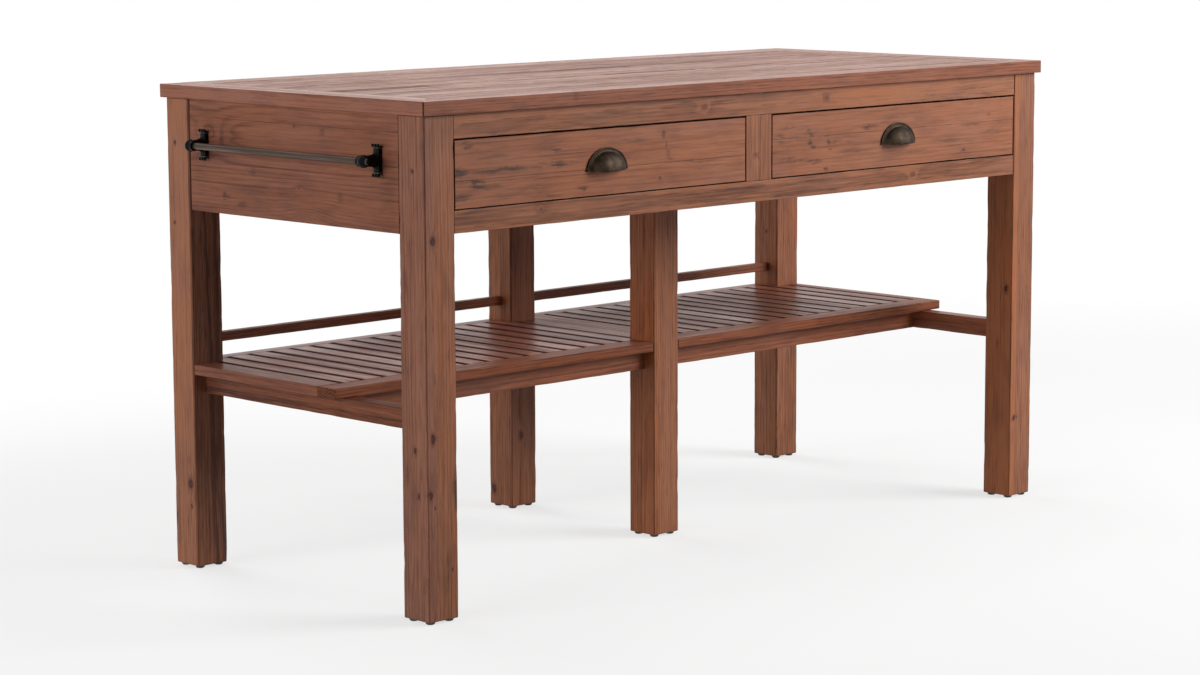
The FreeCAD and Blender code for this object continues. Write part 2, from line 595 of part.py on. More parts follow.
# Towel bar: a round bar between two cast brackets screwed to the left end panel
def bracket(y, inward):
    """A plate with a fan of three lobes at each end, and a flared arm to a knob that takes the bar."""
    face = V(-APRON_X, y, BAR_Z)
    solid = block((face.x - PLATE_THICK, face.x), centred(y, PLATE_WIDTH),
                  centred(BAR_Z, PLATE_HEIGHT - LOBE_DIA))
    for up in (-1, 1):
        tip = BAR_Z + up * (PLATE_HEIGHT - LOBE_DIA) / 2
        for lobe in (-1, 0, 1):
            centre = V(face.x, y + lobe * LOBE_SPREAD, tip - up * abs(lobe) * LOBE_STEP)
            solid = solid.fuse(cylinder(LOBE_DIA, centre, centre + V(-LOBE_THICK, 0, 0)))
        ridge_z = centred(tip - up * (LOBE_STEP + LOBE_DIA), RIDGE_HEIGHT)
        solid = solid.fuse(block((face.x - RIDGE_THICK, face.x), centred(y, RIDGE_WIDTH), ridge_z))
    foot, neck, ball = ARM_FOOT_DIA / 2, ARM_NECK_DIA / 2, KNOB_DIA / 2
    flare = foot - neck
    hollow = flare * (1 - sqrt(0.5))
    start = V(-PLATE_THICK, foot, 0)
    end = V(-PLATE_THICK - flare, neck, 0)
    sweep = Part.Arc(start, V(-PLATE_THICK - hollow, neck + hollow, 0), end)
    meet = V(sqrt(ball ** 2 - neck ** 2) - BAR_STANDOFF, neck, 0)
    pole = V(-BAR_STANDOFF - ball, 0, 0)
    knob = Part.Arc(meet, V(-BAR_STANDOFF, ball, 0), pole)
    outline = Part.Wire([Part.LineSegment(V(0, 0, 0), V(0, foot, 0)).toShape(),
                         Part.LineSegment(V(0, foot, 0), start).toShape(),
                         sweep.toShape(),
                         Part.LineSegment(end, meet).toShape(),
                         knob.toShape(),
                         Part.LineSegment(pole, V(0, 0, 0)).toShape()])
    arm = Part.Face(outline).revolve(V(0, 0, 0), V(1, 0, 0), 360).translated(face)
    centre = V(BAR_X, y, BAR_Z)
    collar = cylinder(COLLAR_DIA, centre, centre + V(0, inward * COLLAR_LENGTH, 0))
    socket = cylinder(BAR_DIA + 2 * HOLE_CLEARANCE, centre - V(0, inward * SOCKET_DEPTH, 0),
                      centre + V(0, inward * BRACKET_Y, 0))
    return solid.fuse([arm, collar]).cut(socket).removeSplitter()


def bracket_screw(y, z):
    """A round-head screw through a bracket's fan into the end panel, with its hole."""
    seat = V(-APRON_X - LOBE_THICK, y, z)
    tip = V(-APRON_X + BRACKET_SCREW_LENGTH, y, z)
    sphere = BRACKET_SCREW_HEAD_DIA ** 2 / (8 * BRACKET_SCREW_HEAD) + BRACKET_SCREW_HEAD / 2
    ball = Part.makeSphere(sphere, seat + V(sphere - BRACKET_SCREW_HEAD, 0, 0))
    head = ball.common(block((seat.x - sphere, seat.x), centred(y, 2 * sphere), centred(z, 2 * sphere)))
    shank = cylinder(BRACKET_SCREW_DIA, seat, tip)
    hole = cylinder(BRACKET_SCREW_DIA + 2 * HOLE_CLEARANCE, seat, tip + V(HOLE_CLEARANCE, 0, 0))
    return head.fuse(shank), hole


bracket_screws = []
for name, inward in (("towel_bracket_front", 1), ("towel_bracket_back", -1)):
    bracket_y = -inward * BRACKET_Y
    pieces[name] = bracket(bracket_y, inward)
    for up in (-1, 1):
        screw_z = BAR_Z + up * (PLATE_HEIGHT / 2 - BRACKET_SCREW_PLACE)
        screw, hole = bracket_screw(bracket_y, screw_z)
        bracket_screws.append(screw)
        for holed in (name, "end_panel_left"):
            pieces[holed] = pieces[holed].cut(hole)
pieces["towel_bracket_screws"] = Part.makeCompound(bracket_screws)
bar_reach = BRACKET_Y + SOCKET_DEPTH
pieces["towel_bar"] = cylinder(BAR_DIA, V(BAR_X, -bar_reach, BAR_Z), V(BAR_X, bar_reach, BAR_Z))

# One file per piece, with the origin at the middle of the box's bottom
os.makedirs("parts", exist_ok=True)
for name, shape in pieces.items():
    shape.translated(-ORIGIN).exportStep("parts/%s.step" % name)
print(len(pieces), "pieces, origin at", ORIGIN)
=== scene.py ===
import random
from math import cos, pi, radians, sin

import bmesh
import bpy
from mathutils import Matrix, Vector, noise


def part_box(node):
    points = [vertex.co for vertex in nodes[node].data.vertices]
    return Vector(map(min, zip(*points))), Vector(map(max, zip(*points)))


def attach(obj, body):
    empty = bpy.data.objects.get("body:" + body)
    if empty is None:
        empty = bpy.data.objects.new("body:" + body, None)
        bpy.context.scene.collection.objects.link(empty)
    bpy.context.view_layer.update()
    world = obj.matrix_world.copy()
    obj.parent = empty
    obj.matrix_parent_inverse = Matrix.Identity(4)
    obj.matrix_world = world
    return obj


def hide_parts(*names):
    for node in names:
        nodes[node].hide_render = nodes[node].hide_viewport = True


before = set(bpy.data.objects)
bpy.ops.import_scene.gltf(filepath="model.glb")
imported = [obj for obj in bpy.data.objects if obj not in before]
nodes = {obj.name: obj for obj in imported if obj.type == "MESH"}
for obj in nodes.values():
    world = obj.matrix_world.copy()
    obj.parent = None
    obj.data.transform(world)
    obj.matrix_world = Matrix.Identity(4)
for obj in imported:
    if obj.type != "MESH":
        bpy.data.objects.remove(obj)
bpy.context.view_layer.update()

# Legs: six square posts of old pine, each glued up from two lengths, planed and stained reddish brown, with
# the arrises coloured darker. The corner legs take the rails and panels in mortises, the middle pair
# takes the shelf's stretcher, and old knots, a nicked arris and a few nail marks are left showing.
LEG_EASE = 0.0022
LEG_WEAR = 0.0011
LEG_ARRIS = 0.38
LEG_LIGHT = (0.385, 0.150, 0.074)
LEG_MIDDLE = (0.255, 0.092, 0.042)
LEG_DARK = (0.085, 0.028, 0.014)
WARMER = (1.06, 0.92, 0.74)
COOLER = (0.90, 0.98, 1.26)
GREYER = (0.70, 0.70, 0.80)
SIDE_FACE_SHADE = (0.86, 0.77, 0.75)
END_STAIN = 0.22
GAP_FACE_SHADE = 0.6
KNOT_RIM = (0.130, 0.037, 0.019, 1.0)
KNOT_HEART = (0.048, 0.010, 0.005, 1.0)
KNOT_DRAW = 0.62
KNOT_SHAKE = 0.008
OLD_STAIN_AND_SHADE = (0.064, 0.024, 0.015, 1.0)
DRY_SHINE = 0.20
RING_WIDTH = 0.0062
RING_SWAY = 0.022
KNOT_BEND = 2.5
SWIRL_BEND = 4.0
LATE_DEPTH = 0.55
STREAK_DEPTH = 1.30
DASH_DEPTH = 0.36
FIBRE_DEPTH = 1.15
PATCH_DEPTH = 0.70
STAIN_DEPTH = 0.31
GRAIN_RELIEF = 0.0006
SAW_STEP = 0.014
CHEW_CYCLES = 22.0
FINE_CHEW = 4.1
FINE_CHEW_SHARE = 0.45


class Shade:
    """One value of a material. Arithmetic on it adds Math nodes, and add() makes any other node."""

    def __init__(self, tree, socket=None):
        self.tree = tree
        self.socket = socket

    def add(self, kind, settings, sockets, output=0):
        node = self.tree.nodes.new("ShaderNode" + kind)
        for name, value in settings.items():
            if name == "stops":
                elements = node.color_ramp.elements
                for position, colour in value[1:-1]:
                    elements.new(position)
                elements[0].position = value[0][0]
                elements[-1].position = value[-1][0]
                for element, (position, colour) in zip(elements, value):
                    element.color = (*colour, 1.0)
            else:
                setattr(node, name, value)
        for name, value in sockets.items():
            if isinstance(value, Shade):
                self.tree.links.new(value.socket, node.inputs[name])
            else:
                node.inputs[name].default_value = value
        return Shade(self.tree, node.outputs[output] if node.outputs else None)

    def maths(self, operation, *others):
        return self.add("Math", {"operation": operation}, dict(enumerate((self, *others))))

    def vector(self, operation, *others, output=0):
        return self.add("VectorMath", {"operation": operation}, dict(enumerate((self, *others))), output)

    def part(self, axis):
        """One of a vector's three numbers."""
        return self.add("SeparateXYZ", {}, {0: self}, axis)

    def away(self, centre, stretch):
        """How far this place is from a centre, with each axis stretched."""
        return self.vector("SUBTRACT", centre).vector("MULTIPLY", stretch).vector("LENGTH", output=1)

    def step(self, start, end):
        """0 below start, 1 above end, and smooth between."""
        return self.add("MapRange", {"interpolation_type": "SMOOTHSTEP"}, {0: self, 1: start, 2: end})

    def mixed(self, colour, amount):
        """This colour with some of another in it."""
        return self.add("Mix", {"data_type": "RGBA"}, {0: amount, 6: self, 7: colour}, 2)

    def tinted(self, tint, amount):
        """This colour with its red, green and blue turned up or down."""
        return self.mixed(self.vector("MULTIPLY", tint), amount)

    def noise(self, stretch, detail, output=0):
        """Noise on this place, with so many cycles to the metre along each axis."""
        scaled = self.vector("MULTIPLY", stretch)
        sockets = {"Vector": scaled, "Scale": 1.0, "Detail": detail, "Roughness": 0.55}
        return self.add("TexNoise", {}, sockets, output)

    def __add__(self, other):
        return self.maths("ADD", other)

    def __sub__(self, other):
        return self.maths("SUBTRACT", other)

    def __rsub__(self, other):
        return self.add("Math", {"operation": "SUBTRACT"}, {0: other, 1: self})

    def __mul__(self, other):
        return self.maths("MULTIPLY", other)

    def __truediv__(self, other):
        return self.maths("DIVIDE", other)

    __radd__ = __add__
    __rmul__ = __mul__


def new_finish(name):
    """An empty material, and the first value of its tree."""
    material = bpy.data.materials.new(name)
    material.use_nodes = True
    material.node_tree.nodes.clear()
    return material, Shade(material.node_tree)


def surface(first, sockets):
    """Close a material with its shader and output."""
    shader = first.add("BsdfPrincipled", {}, sockets)
    first.add("OutputMaterial", {}, {"Surface": shader})


def axis_grain(place, along, row):
    """Grain read along one axis of the object, and how much darker the wood is there.

    A row is (start, pitch, edge, darkening): each slat has its own wood and its edges painted dark as shade.
    """
    parts = [place.part(axis) for axis in (along, *(axis for axis in range(3) if axis != along))]
    darker = 0.0
    if row is not None:
        start, pitch, edge, darkening = row
        counted = (parts[1] - start) / pitch
        number = counted.maths("FLOOR")
        own = place.add("TexWhiteNoise", {"noise_dimensions": "1D"}, {"W": number})
        darker = (counted - number - 0.5).maths("ABSOLUTE").step(*edge) * darkening + (own - 0.5) * 0.16
        parts = [parts[0] + own * 7.0, parts[1] - number * pitch - start + own * 0.04, parts[2] + own * 0.05]
    return place.add("CombineXYZ", {}, {0: parts[0], 1: parts[1] + 0.03, 2: parts[2] + 0.05}), darker


def pine(name, light, middle, dark, knots=(), marks=(), swirls=(), run=2, along=None, row=None, shut=None,
         gloss=0.45, shine=0.22, dullness=0.25, figure=1.0, streaks=1.0, fine=1.0, lively=None,
         heart_tone=1.0, arris_tone=0.10):
    """Stained pine. New boards carry their own grain; a frame part is read along one axis of the object.

    knots and swirls are (place, size) and marks are (place, half sizes, strength), all on the object in
    metres. Knots are drawn out along the run of the grain, and swirls only bend it. Faces along the shut
    axis look into gaps and are painted dark, as shade. Faces along a lively axis keep their whole figure,
    while the faces round them are calmer and drier, are painted darker and browner as shade beside its
    sheen, and alone show the boards' browner tones.
    """
    material, first = new_finish(name)
    place = first.add("TexCoord", {}, {}, 3)
    tone = first.add("Attribute", {"attribute_name": "tone"}, {}, 1)
    darker = tone.part(0)
    browner = tone.part(1)
    arris = tone.part(2)
    if along is None:
        grain = first.add("Attribute", {"attribute_name": "grain"}, {}, 1)
    else:
        grain, own_tone = axis_grain(place, along, row)
        darker = darker + own_tone
    if shut is not None:
        facing = first.add("TexCoord", {}, {}, 1).part(shut).maths("ABSOLUTE")
        darker = darker + facing.step(0.5, 0.8) * GAP_FACE_SHADE

    shake = place.noise((85, 85, 85), 1, 1).vector("SUBTRACT", (0.5, 0.5, 0.5))
    shaken = place.vector("ADD", shake.vector("MULTIPLY", (KNOT_SHAKE, KNOT_SHAKE, KNOT_SHAKE)))
    drawn_out = tuple(KNOT_DRAW if axis == run else 1.0 for axis in range(3))
    swells = [(shaken.away(centre, drawn_out) / size * -1.0).maths("EXPONENT") for centre, size in knots]
    field = sum(swells[1:], swells[0]) if swells else None

    sway = grain.noise((0.9, 6, 6), 2, 1).vector("SUBTRACT", (0.5, 0.5, 0.5))
    swayed = grain.vector("ADD", sway.vector("MULTIPLY", (0, RING_SWAY, RING_SWAY)))
    heart = swayed.vector("MULTIPLY", (0, 1, 1)).vector("LENGTH", output=1)
    ring = heart / RING_WIDTH + grain.noise((0.7, 30, 30), 1) * 1.6 + grain.noise((9, 110, 110), 2) * 0.8
    if field is not None:
        ring = ring + field * KNOT_BEND
    for centre, size in swirls:
        ring = ring + (place.away(centre, drawn_out) / size * -1.0).maths("EXPONENT") * SWIRL_BEND
    year = first.add("TexWhiteNoise", {"noise_dimensions": "1D"}, {"W": ring.maths("FLOOR")})
    season = ring.maths("FRACT")
    late = season.step(0.40, 0.85) * (1.0 - season.step(0.90, 1.0)) * (year * 0.85 + 0.15)

    line = grain.noise((1.8, 310, 310), 3)
    fibre = grain.noise((13, 320, 320), 3)
    patch = grain.noise((1.8, 12, 12), 3)
    dash = grain.noise((20, 230, 230), 2).step(0.56, 0.72)
    mottle = grain.noise((9, 26, 26), 4).step(0.46, 0.74)
    cloud = grain.noise((4, 16, 16), 3)

    figured = darker.maths("MAXIMUM", 0.0) * 2.0 + 1.0
    drawn = late * figured * (LATE_DEPTH * figure)
    drawn = drawn + (line - 0.5) * (STREAK_DEPTH * streaks) + dash * (DASH_DEPTH * streaks)
    # Faces round a lively face: calmer figure, and their browner tone also painted darker as shade.
    if lively is not None:
        edge = 1.0 - first.add("TexCoord", {}, {}, 1).part(lively).maths("ABSOLUTE").step(0.5, 0.9)
        drawn = drawn * (1.0 - edge * 0.65)
        browner = browner * edge
        darker = darker + browner * 0.2
    depth = drawn + (fibre - 0.5) * (FIBRE_DEPTH * fine) + (patch - 0.5) * PATCH_DEPTH
    depth = depth + darker + STAIN_DEPTH + arris * arris_tone
    colour = first.add("ValToRGB", {"stops": [(0.0, light), (0.45, middle), (1.0, dark)]}, {0: depth})
    # The faces round a lively face are painted darker and browner, as shade beside its sheen.
    if lively is not None:
        colour = colour.tinted(SIDE_FACE_SHADE, edge)
    hue = browner + (cloud - 0.5) * 2.6
    colour = colour.tinted(WARMER, hue)
    colour = colour.tinted(COOLER, hue * -1.0)
    colour = colour.tinted(GREYER, mottle * 0.8)
    rough = gloss + (depth - 0.45) * dullness
    relief = late * 0.5 + fibre * 0.6 + line * 0.5 - dash * 0.6
    if field is not None:
        colour = colour.mixed(KNOT_RIM, field.step(0.12, 0.42) * 0.55)
        core = field.step(0.38, 0.56) * (1.0 - field.step(0.66, 0.85) * 0.2)
        colour = colour.mixed(KNOT_HEART, core * heart_tone)
        relief = relief - field.step(0.35, 0.6) * 0.8
    smears_and_shade = [(1.0 - shaken.away(centre, tuple(1.0 / half for half in halves)).step(0.2, 1.0)) * strength
              for centre, halves, strength in marks]
    if smears_and_shade:
        darkening = sum(smears_and_shade[1:], smears_and_shade[0])
        broken = grain.noise((24, 190, 190), 4).step(0.38, 0.56)
        colour = colour.mixed(OLD_STAIN_AND_SHADE, darkening * (broken * 1.05 + 0.18))
        relief = relief - darkening * broken * 0.5
    normal = first.add("Bump", {}, {"Strength": 0.25, "Distance": GRAIN_RELIEF, "Height": relief})
    sockets = {"Base Color": colour, "Roughness": rough, "Normal": normal}
    shader = first.add("BsdfPrincipled", {}, {**sockets, "Specular IOR Level": shine})
    if lively is not None:
        dry = first.add("BsdfPrincipled", {}, {**sockets, "Specular IOR Level": DRY_SHINE})
        shader = first.add("MixShader", {}, {0: edge, 1: shader, 2: dry})
    first.add("OutputMaterial", {}, {"Surface": shader})
    return material


def new_timber():
    """A bmesh whose boards can carry their grain and their tone."""
    bm = bmesh.new()
    bm.loops.layers.float_vector.new("grain")
    bm.loops.layers.float_vector.new("tone")
    return bm


def added_since(bm, before):
    """The vertices, edges and faces of the last board."""
    verts = [v for v in bm.verts if v not in before]
    edges = [e for e in bm.edges if e.verts[0] not in before]
    faces = [f for f in bm.faces if f.verts[0] not in before]
    return verts + edges + faces


def sawn_board(bm, low, high, mitres=()):
    """A square board between two corners, cut on the mitre planes. Returns the vertices there before it."""
    before = set(bm.verts)
    block = bmesh.ops.create_cube(bm, size=1.0)["verts"]
    bmesh.ops.scale(bm, vec=high - low, verts=block)
    bmesh.ops.translate(bm, vec=(low + high) / 2, verts=block)
    for point, outward in mitres:
        cut = bmesh.ops.bisect_plane(bm, geom=added_since(bm, before), dist=1e-7, plane_co=point,
                                     plane_no=outward, clear_outer=True)["geom_cut"]
        bmesh.ops.edgeloop_fill(bm, edges=[e for e in cut if isinstance(e, bmesh.types.BMEdge)])
    return before


def ease(bm, edges, size):
    """Round edges with a plane or sandpaper."""
    bmesh.ops.bevel(bm, geom=edges, offset=size, offset_type="OFFSET", affect="EDGES", segments=3,
                    profile=0.5, material=-1, clamp_overlap=True)


def weather(bm, before, low, high, along, seed, eased, wear, tones, seams=(), shut=None, end_stain_and_shade=END_STAIN):
    """Wear a board's arrises unevenly and give it its grain, one length of wood each side of a seam.

    Each length has a tone, darker and browner. Faces along the shut axis meet other boards and are painted
    dark, as shade in the gaps.
    """
    size = high - low
    middle = (low + high) / 2
    across = sorted((axis for axis in range(3) if axis != along), key=lambda axis: -size[axis])
    long_edges = [e for e in bm.edges if e.verts[0] not in before
                  and abs(e.verts[0].co[along] - e.verts[1].co[along]) > 4 * SAW_STEP]
    bmesh.ops.subdivide_edges(bm, edges=long_edges, cuts=int(size[along] / SAW_STEP), use_grid_fill=True)
    drift = Vector((seed * 1.7, seed * 0.9, seed * 2.3))
    for vert in bm.verts:
        if vert in before:
            continue
        room = [min(vert.co[axis] - low[axis], high[axis] - vert.co[axis]) for axis in across]
        if max(room) > eased * 1.05:
            continue
        spot = vert.co * CHEW_CYCLES + drift
        chew = max(0.0, noise.noise(spot) + FINE_CHEW_SHARE * noise.noise(spot * FINE_CHEW)) * wear
        for axis in across:
            vert.co[axis] += chew if vert.co[axis] < middle[axis] else -chew
    for axis, position in seams:
        normal = Vector((axis == 0, axis == 1, axis == 2))
        bmesh.ops.bisect_plane(bm, geom=added_since(bm, before), dist=1e-6, plane_co=normal * position,
                               plane_no=normal)
    draw = random.Random(seed)
    lengths = []
    for number in range(len(seams) + 1):
        turn = draw.uniform(-0.6, 0.6) + draw.choice((0.0, 0.0, pi))
        pith = draw.uniform(0.035, 0.10)
        shift = Vector((draw.uniform(0, 9), pith * sin(turn), pith * cos(turn)))
        darker, browner = tones[min(number, len(tones) - 1)]
        lengths.append((shift, darker + draw.uniform(-0.04, 0.04), browner + draw.uniform(-0.1, 0.1)))
    grain = bm.loops.layers.float_vector["grain"]
    tone = bm.loops.layers.float_vector["tone"]
    bm.normal_update()
    for face in bm.faces:
        if face.verts[0] in before:
            continue
        centre = face.calc_center_median()
        number = sum(centre[axis] > position for axis, position in seams)
        shift, darker, browner = lengths[number]
        stain_and_shade = end_stain_and_shade if abs(face.normal[along]) > 0.3 and face.normal.z < 0.5 else 0.0
        if shut is not None and abs(face.normal[shut]) > 0.3:
            stain_and_shade = GAP_FACE_SHADE
        rounded = 1.0 if max(abs(value) for value in face.normal) < 0.985 and not stain_and_shade else 0.0
        for loop in face.loops:
            spot = loop.vert.co - middle
            loop[grain] = Vector((spot[along], spot[across[0]], spot[across[1]])) + shift
            loop[tone] = (darker + stain_and_shade, browner, rounded)


def worn_board(bm, low, high, along, seed, eased, wear, tones, seams=(), shut=None, end_stain_and_shade=END_STAIN):
    """A board with all its edges eased and worn."""
    low, high = Vector(low), Vector(high)
    before = sawn_board(bm, low, high)
    ease(bm, [e for e in bm.edges if e.verts[0] not in before], eased)
    weather(bm, before, low, high, along, seed, eased, wear, tones, seams, shut, end_stain_and_shade)


def make_piece(name, bm, finish, body, slot, *stands_for):
    """Finish a bmesh as a piece of the object."""
    bmesh.ops.recalc_face_normals(bm, faces=bm.faces)
    for face in bm.faces:
        face.smooth = True
    mesh = bpy.data.meshes.new(name)
    bm.to_mesh(mesh)
    bm.free()
    mesh.materials.append(finish)
    piece = bpy.data.objects.new(name, mesh)
    bpy.context.scene.collection.objects.link(piece)
    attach(piece, body)
    if stands_for:
        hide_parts(*stands_for)
    return piece


def make_crisp(name, bm, finish, body, slot, *stands_for):
    """A piece whose broad faces are flat and whose arrises are round."""
    piece = make_piece(name, bm, finish, body, slot, *stands_for)
    flat = piece.modifiers.new("flat_faces", "WEIGHTED_NORMAL")
    flat.weight = 80


def on_face(axis, level, *spots):
    """Spots on a face square to an axis: each is its two places on the face, and what goes with them."""
    return [((*spot[:axis], level, *spot[axis:2]), *spot[2:]) for spot in spots]


leg = {name.removeprefix("leg_"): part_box(name) for name in nodes if name.startswith("leg_")}
leg_knots = [
    *on_face(1, leg["front_left"][0].y, (-0.8050, 0.6728, 0.0065), (-0.8090, 0.3287, 0.0070),
             (-0.8150, 0.2310, 0.0058), (-0.8075, 0.2070, 0.0020), (-0.7685, 0.0940, 0.0025),
             (0.8040, 0.1705, 0.0042)),
    *on_face(0, leg["front_left"][0].x, (-0.3230, 0.3060, 0.0045), (-0.3310, 0.2270, 0.0040),
             (-0.3260, 0.7920, 0.0028), (0.3220, 0.1610, 0.0080), (0.3206, 0.1200, 0.0028),
             (0.3530, 0.6560, 0.0030), (0.3470, 0.8050, 0.0028)),
    *on_face(0, leg["back_middle"][0].x, (0.3580, 0.0370, 0.0075)),
    *on_face(1, leg["back_middle"][0].y, (0.0110, 0.1525, 0.0060)),
    *on_face(1, leg["back_middle"][1].y, (0.8300, 0.6100, 0.0065), (-0.7900, 0.4400, 0.0075),
             (0.0250, 0.2400, 0.0060)),
    *on_face(0, leg["shelf_middle"][1].x, (-0.0800, 0.1900, 0.0060)),
    *on_face(0, leg["front_right"][0].x, (-0.3420, 0.4430, 0.0060), (0.3350, 0.5120, 0.0028)),
    *on_face(0, leg["front_right"][1].x, (-0.3200, 0.5650, 0.0080), (0.3400, 0.2700, 0.0070)),
]
leg_marks = [
    *on_face(1, leg["front_left"][0].y, (0.8100, 0.1730, (0.014, 0.010, 0.007), 0.8),
             (-0.8050, 0.4300, (0.004, 0.010, 0.022), 0.7), (-0.7560, 0.2350, (0.012, 0.012, 0.055), 0.8)),
    *on_face(0, leg["front_left"][0].x, (-0.3050, 0.6000, (0.010, 0.008, 0.035), 0.4),
             (0.3680, 0.0940, (0.010, 0.010, 0.020), 0.7)),
    *on_face(0, leg["shelf_middle"][0].x, (-0.0675, 0.3210, (0.010, 0.006, 0.008), 0.8)),
    ((-0.7890, -0.3230, 0.0500), (0.120, 0.120, 0.480), 0.2),  # painted shade, darker towards the front left foot
]
leg_pine = pine("leg_pine", LEG_LIGHT, LEG_MIDDLE, LEG_DARK, leg_knots, leg_marks, figure=0.60,
                streaks=0.80, arris_tone=LEG_ARRIS)
# Some tones paint light and shade: left faces of front right and back left legs lighter, back left's front
# darker.
for name, seed, seam_axis, seam_share, tones in (
        ("front_left", 1, 0, 0.27, ((-0.14, -0.95), (-0.11, -0.10))),
        ("front_right", 2, 0, 0.24, ((-0.30, 0.70), (-0.06, -0.20))),
        ("back_left", 3, 1, 0.10, ((0.28, -0.10), (-0.38, -0.05))),
        ("back_right", 4, 0, 0.50, ((0.02, 0.00), (0.05, 0.10))),
        ("back_middle", 5, 1, 0.45, ((-0.06, -0.10), (-0.02, 0.00))),
        ("shelf_middle", 6, 0, 0.18, ((-0.12, 0.80), (-0.12, 0.00)))):
    low, high = leg[name]
    bm = new_timber()
    seam = low[seam_axis] + seam_share * (high[seam_axis] - low[seam_axis])
    worn_board(bm, low, high, 2, seed, LEG_EASE, LEG_WEAR, tones, [(seam_axis, seam)])
    make_crisp("post_" + name, bm, leg_pine, "frame", "frame_pine", "leg_" + name)

# Foot glides: small domed pads of black plastic, four nailed under each leg to keep the end grain off the
# floor. They are moulded, so the pads are smooth and even.
GLIDE_BLACK = (0.018, 0.017, 0.016, 1.0)
GLIDE_DUST = (0.060, 0.056, 0.052, 1.0)


def moulded(name, colour, dust):
    """Moulded plastic, a little scuffed."""
    material, first = new_finish(name)
    place = first.add("TexCoord", {}, {}, 3)
    scuff = place.noise((160, 160, 160), 3).step(0.52, 0.75)
    tint = first.add("Mix", {"data_type": "RGBA"}, {0: scuff * 0.5, 6: colour, 7: dust}, 2)
    pores = place.noise((700, 700, 700), 2)
    normal = first.add("Bump", {}, {"Strength": 0.15, "Distance": 0.0003, "Height": pores})
    surface(first, {"Base Color": tint, "Roughness": scuff * 0.2 + 0.42, "Normal": normal})
    return material


def dress(finish, *names):
    """Give nodes of the frame their finish."""
    for name in names:
        for slot in nodes[name].material_slots:
            slot.material = finish


dress(moulded("glide_plastic", GLIDE_BLACK, GLIDE_DUST), "foot_glides")

# Front frame: a wide rail under the worktop, a narrow rail under the drawers and a stile between them, of
# the same stained pine. They stand a millimetre behind the legs' faces and are tenoned into them.
RAIL_EASE = 0.0009
RAIL_WEAR = 0.0006
SHOULDER_GAP = 0.0003
top_rail_low, top_rail_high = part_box("front_top_rail")
bottom_rail_low, bottom_rail_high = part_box("front_bottom_rail")
stile_low, stile_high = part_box("front_stile")
rail_knots = on_face(1, top_rail_low.y, (-0.1310, 0.8680, 0.0050), (0.2090, 0.8690, 0.0045),
                     (-0.5490, 0.7100, 0.0035), (0.4700, 0.7030, 0.0040), (0.0100, 0.7700, 0.0030))
rail_marks = on_face(1, top_rail_low.y, (0.0460, 0.8630, (0.030, 0.010, 0.006), 0.5),
                     (-0.6650, 0.8520, (0.040, 0.010, 0.005), 0.4))
rail_pine = pine("rail_pine", LEG_LIGHT, LEG_MIDDLE, LEG_DARK, rail_knots, rail_marks, run=0,
                 figure=0.8, streaks=0.75, heart_tone=0.35)
front_left_x = leg["front_left"][1].x + SHOULDER_GAP
front_right_x = leg["front_right"][0].x - SHOULDER_GAP
# Faces along each part's shut axis look into the gaps round the drawers and are painted dark, as shade.
for name, seed, low, high, along, shut, tone in (
        ("top_rail", 11, (front_left_x, top_rail_low.y, top_rail_low.z),
         (front_right_x, top_rail_high.y, top_rail_high.z), 0, 2, (-0.19, 0.0)),
        ("bottom_rail", 12, (front_left_x, bottom_rail_low.y, bottom_rail_low.z),
         (front_right_x, bottom_rail_high.y, bottom_rail_high.z), 0, 2, (-0.06, 0.0)),
        ("stile", 13, (stile_low.x, stile_low.y, bottom_rail_high.z),
         (stile_high.x, stile_high.y, top_rail_low.z), 2, 0, (-0.10, -0.2))):
    bm = new_timber()
    worn_board(bm, low, high, along, seed, RAIL_EASE, RAIL_WEAR, [tone], shut=shut)
    make_crisp("face_" + name, bm, rail_pine, "frame", "frame_pine", "front_" + name)

# End panels: three boards of different width glued edge to edge between two legs, with the widest growth
# figure in the middle one. The left panel carries the towel bar.
PANEL_LIGHT = (0.385, 0.148, 0.084)
PANEL_MIDDLE = (0.252, 0.091, 0.049)
PANEL_DARK = (0.085, 0.028, 0.015)
PANEL_EASE = 0.0005
PANEL_WEAR = 0.0004
PANEL_GAP = 0.0011
PANEL_GLUE_LINES = (0.797, 0.857)
PANEL_TONES = ((0.06, -0.2), (0.42, -0.4), (0.04, 0.0))
SMEAR_DEPTH = 0.010
left_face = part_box("end_panel_left")[0].x
right_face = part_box("end_panel_right")[1].x
panel_knots = [
    *on_face(0, left_face, (-0.0170, 0.7435, 0.0022)),
    *on_face(0, right_face, (0.1200, 0.7300, 0.0070), (-0.1600, 0.8250, 0.0060)),
]
panel_smears_and_shade = (
    (0.1500, 0.7020, 0.022, 0.010, 0.55), (0.2010, 0.7143, 0.010, 0.012, 0.80),
    (0.1890, 0.7150, 0.009, 0.007, 0.70), (-0.1310, 0.7330, 0.013, 0.014, 0.45),
    (0.1170, 0.7655, 0.018, 0.011, 0.40), (0.2060, 0.8180, 0.010, 0.030, 0.55),
    (-0.0835, 0.8479, 0.014, 0.010, 0.40), (-0.0034, 0.8539, 0.007, 0.006, 0.55),
    # The next two are broad soft darkenings beside the legs: painted shade.
    (-0.2600, 0.7700, 0.034, 0.110, 0.30), (0.2700, 0.7600, 0.030, 0.060, 0.20))
panel_marks = on_face(0, left_face, *(
    (y, z, (SMEAR_DEPTH, wide, tall), strength) for y, z, wide, tall, strength in panel_smears_and_shade))
panel_swirls = on_face(0, left_face, (0.2450, 0.8300, 0.034), (-0.0400, 0.6850, 0.030))
panel_pine = pine("panel_pine", PANEL_LIGHT, PANEL_MIDDLE, PANEL_DARK, panel_knots, panel_marks, panel_swirls,
                  run=1, figure=0.5, streaks=0.4, fine=0.6)


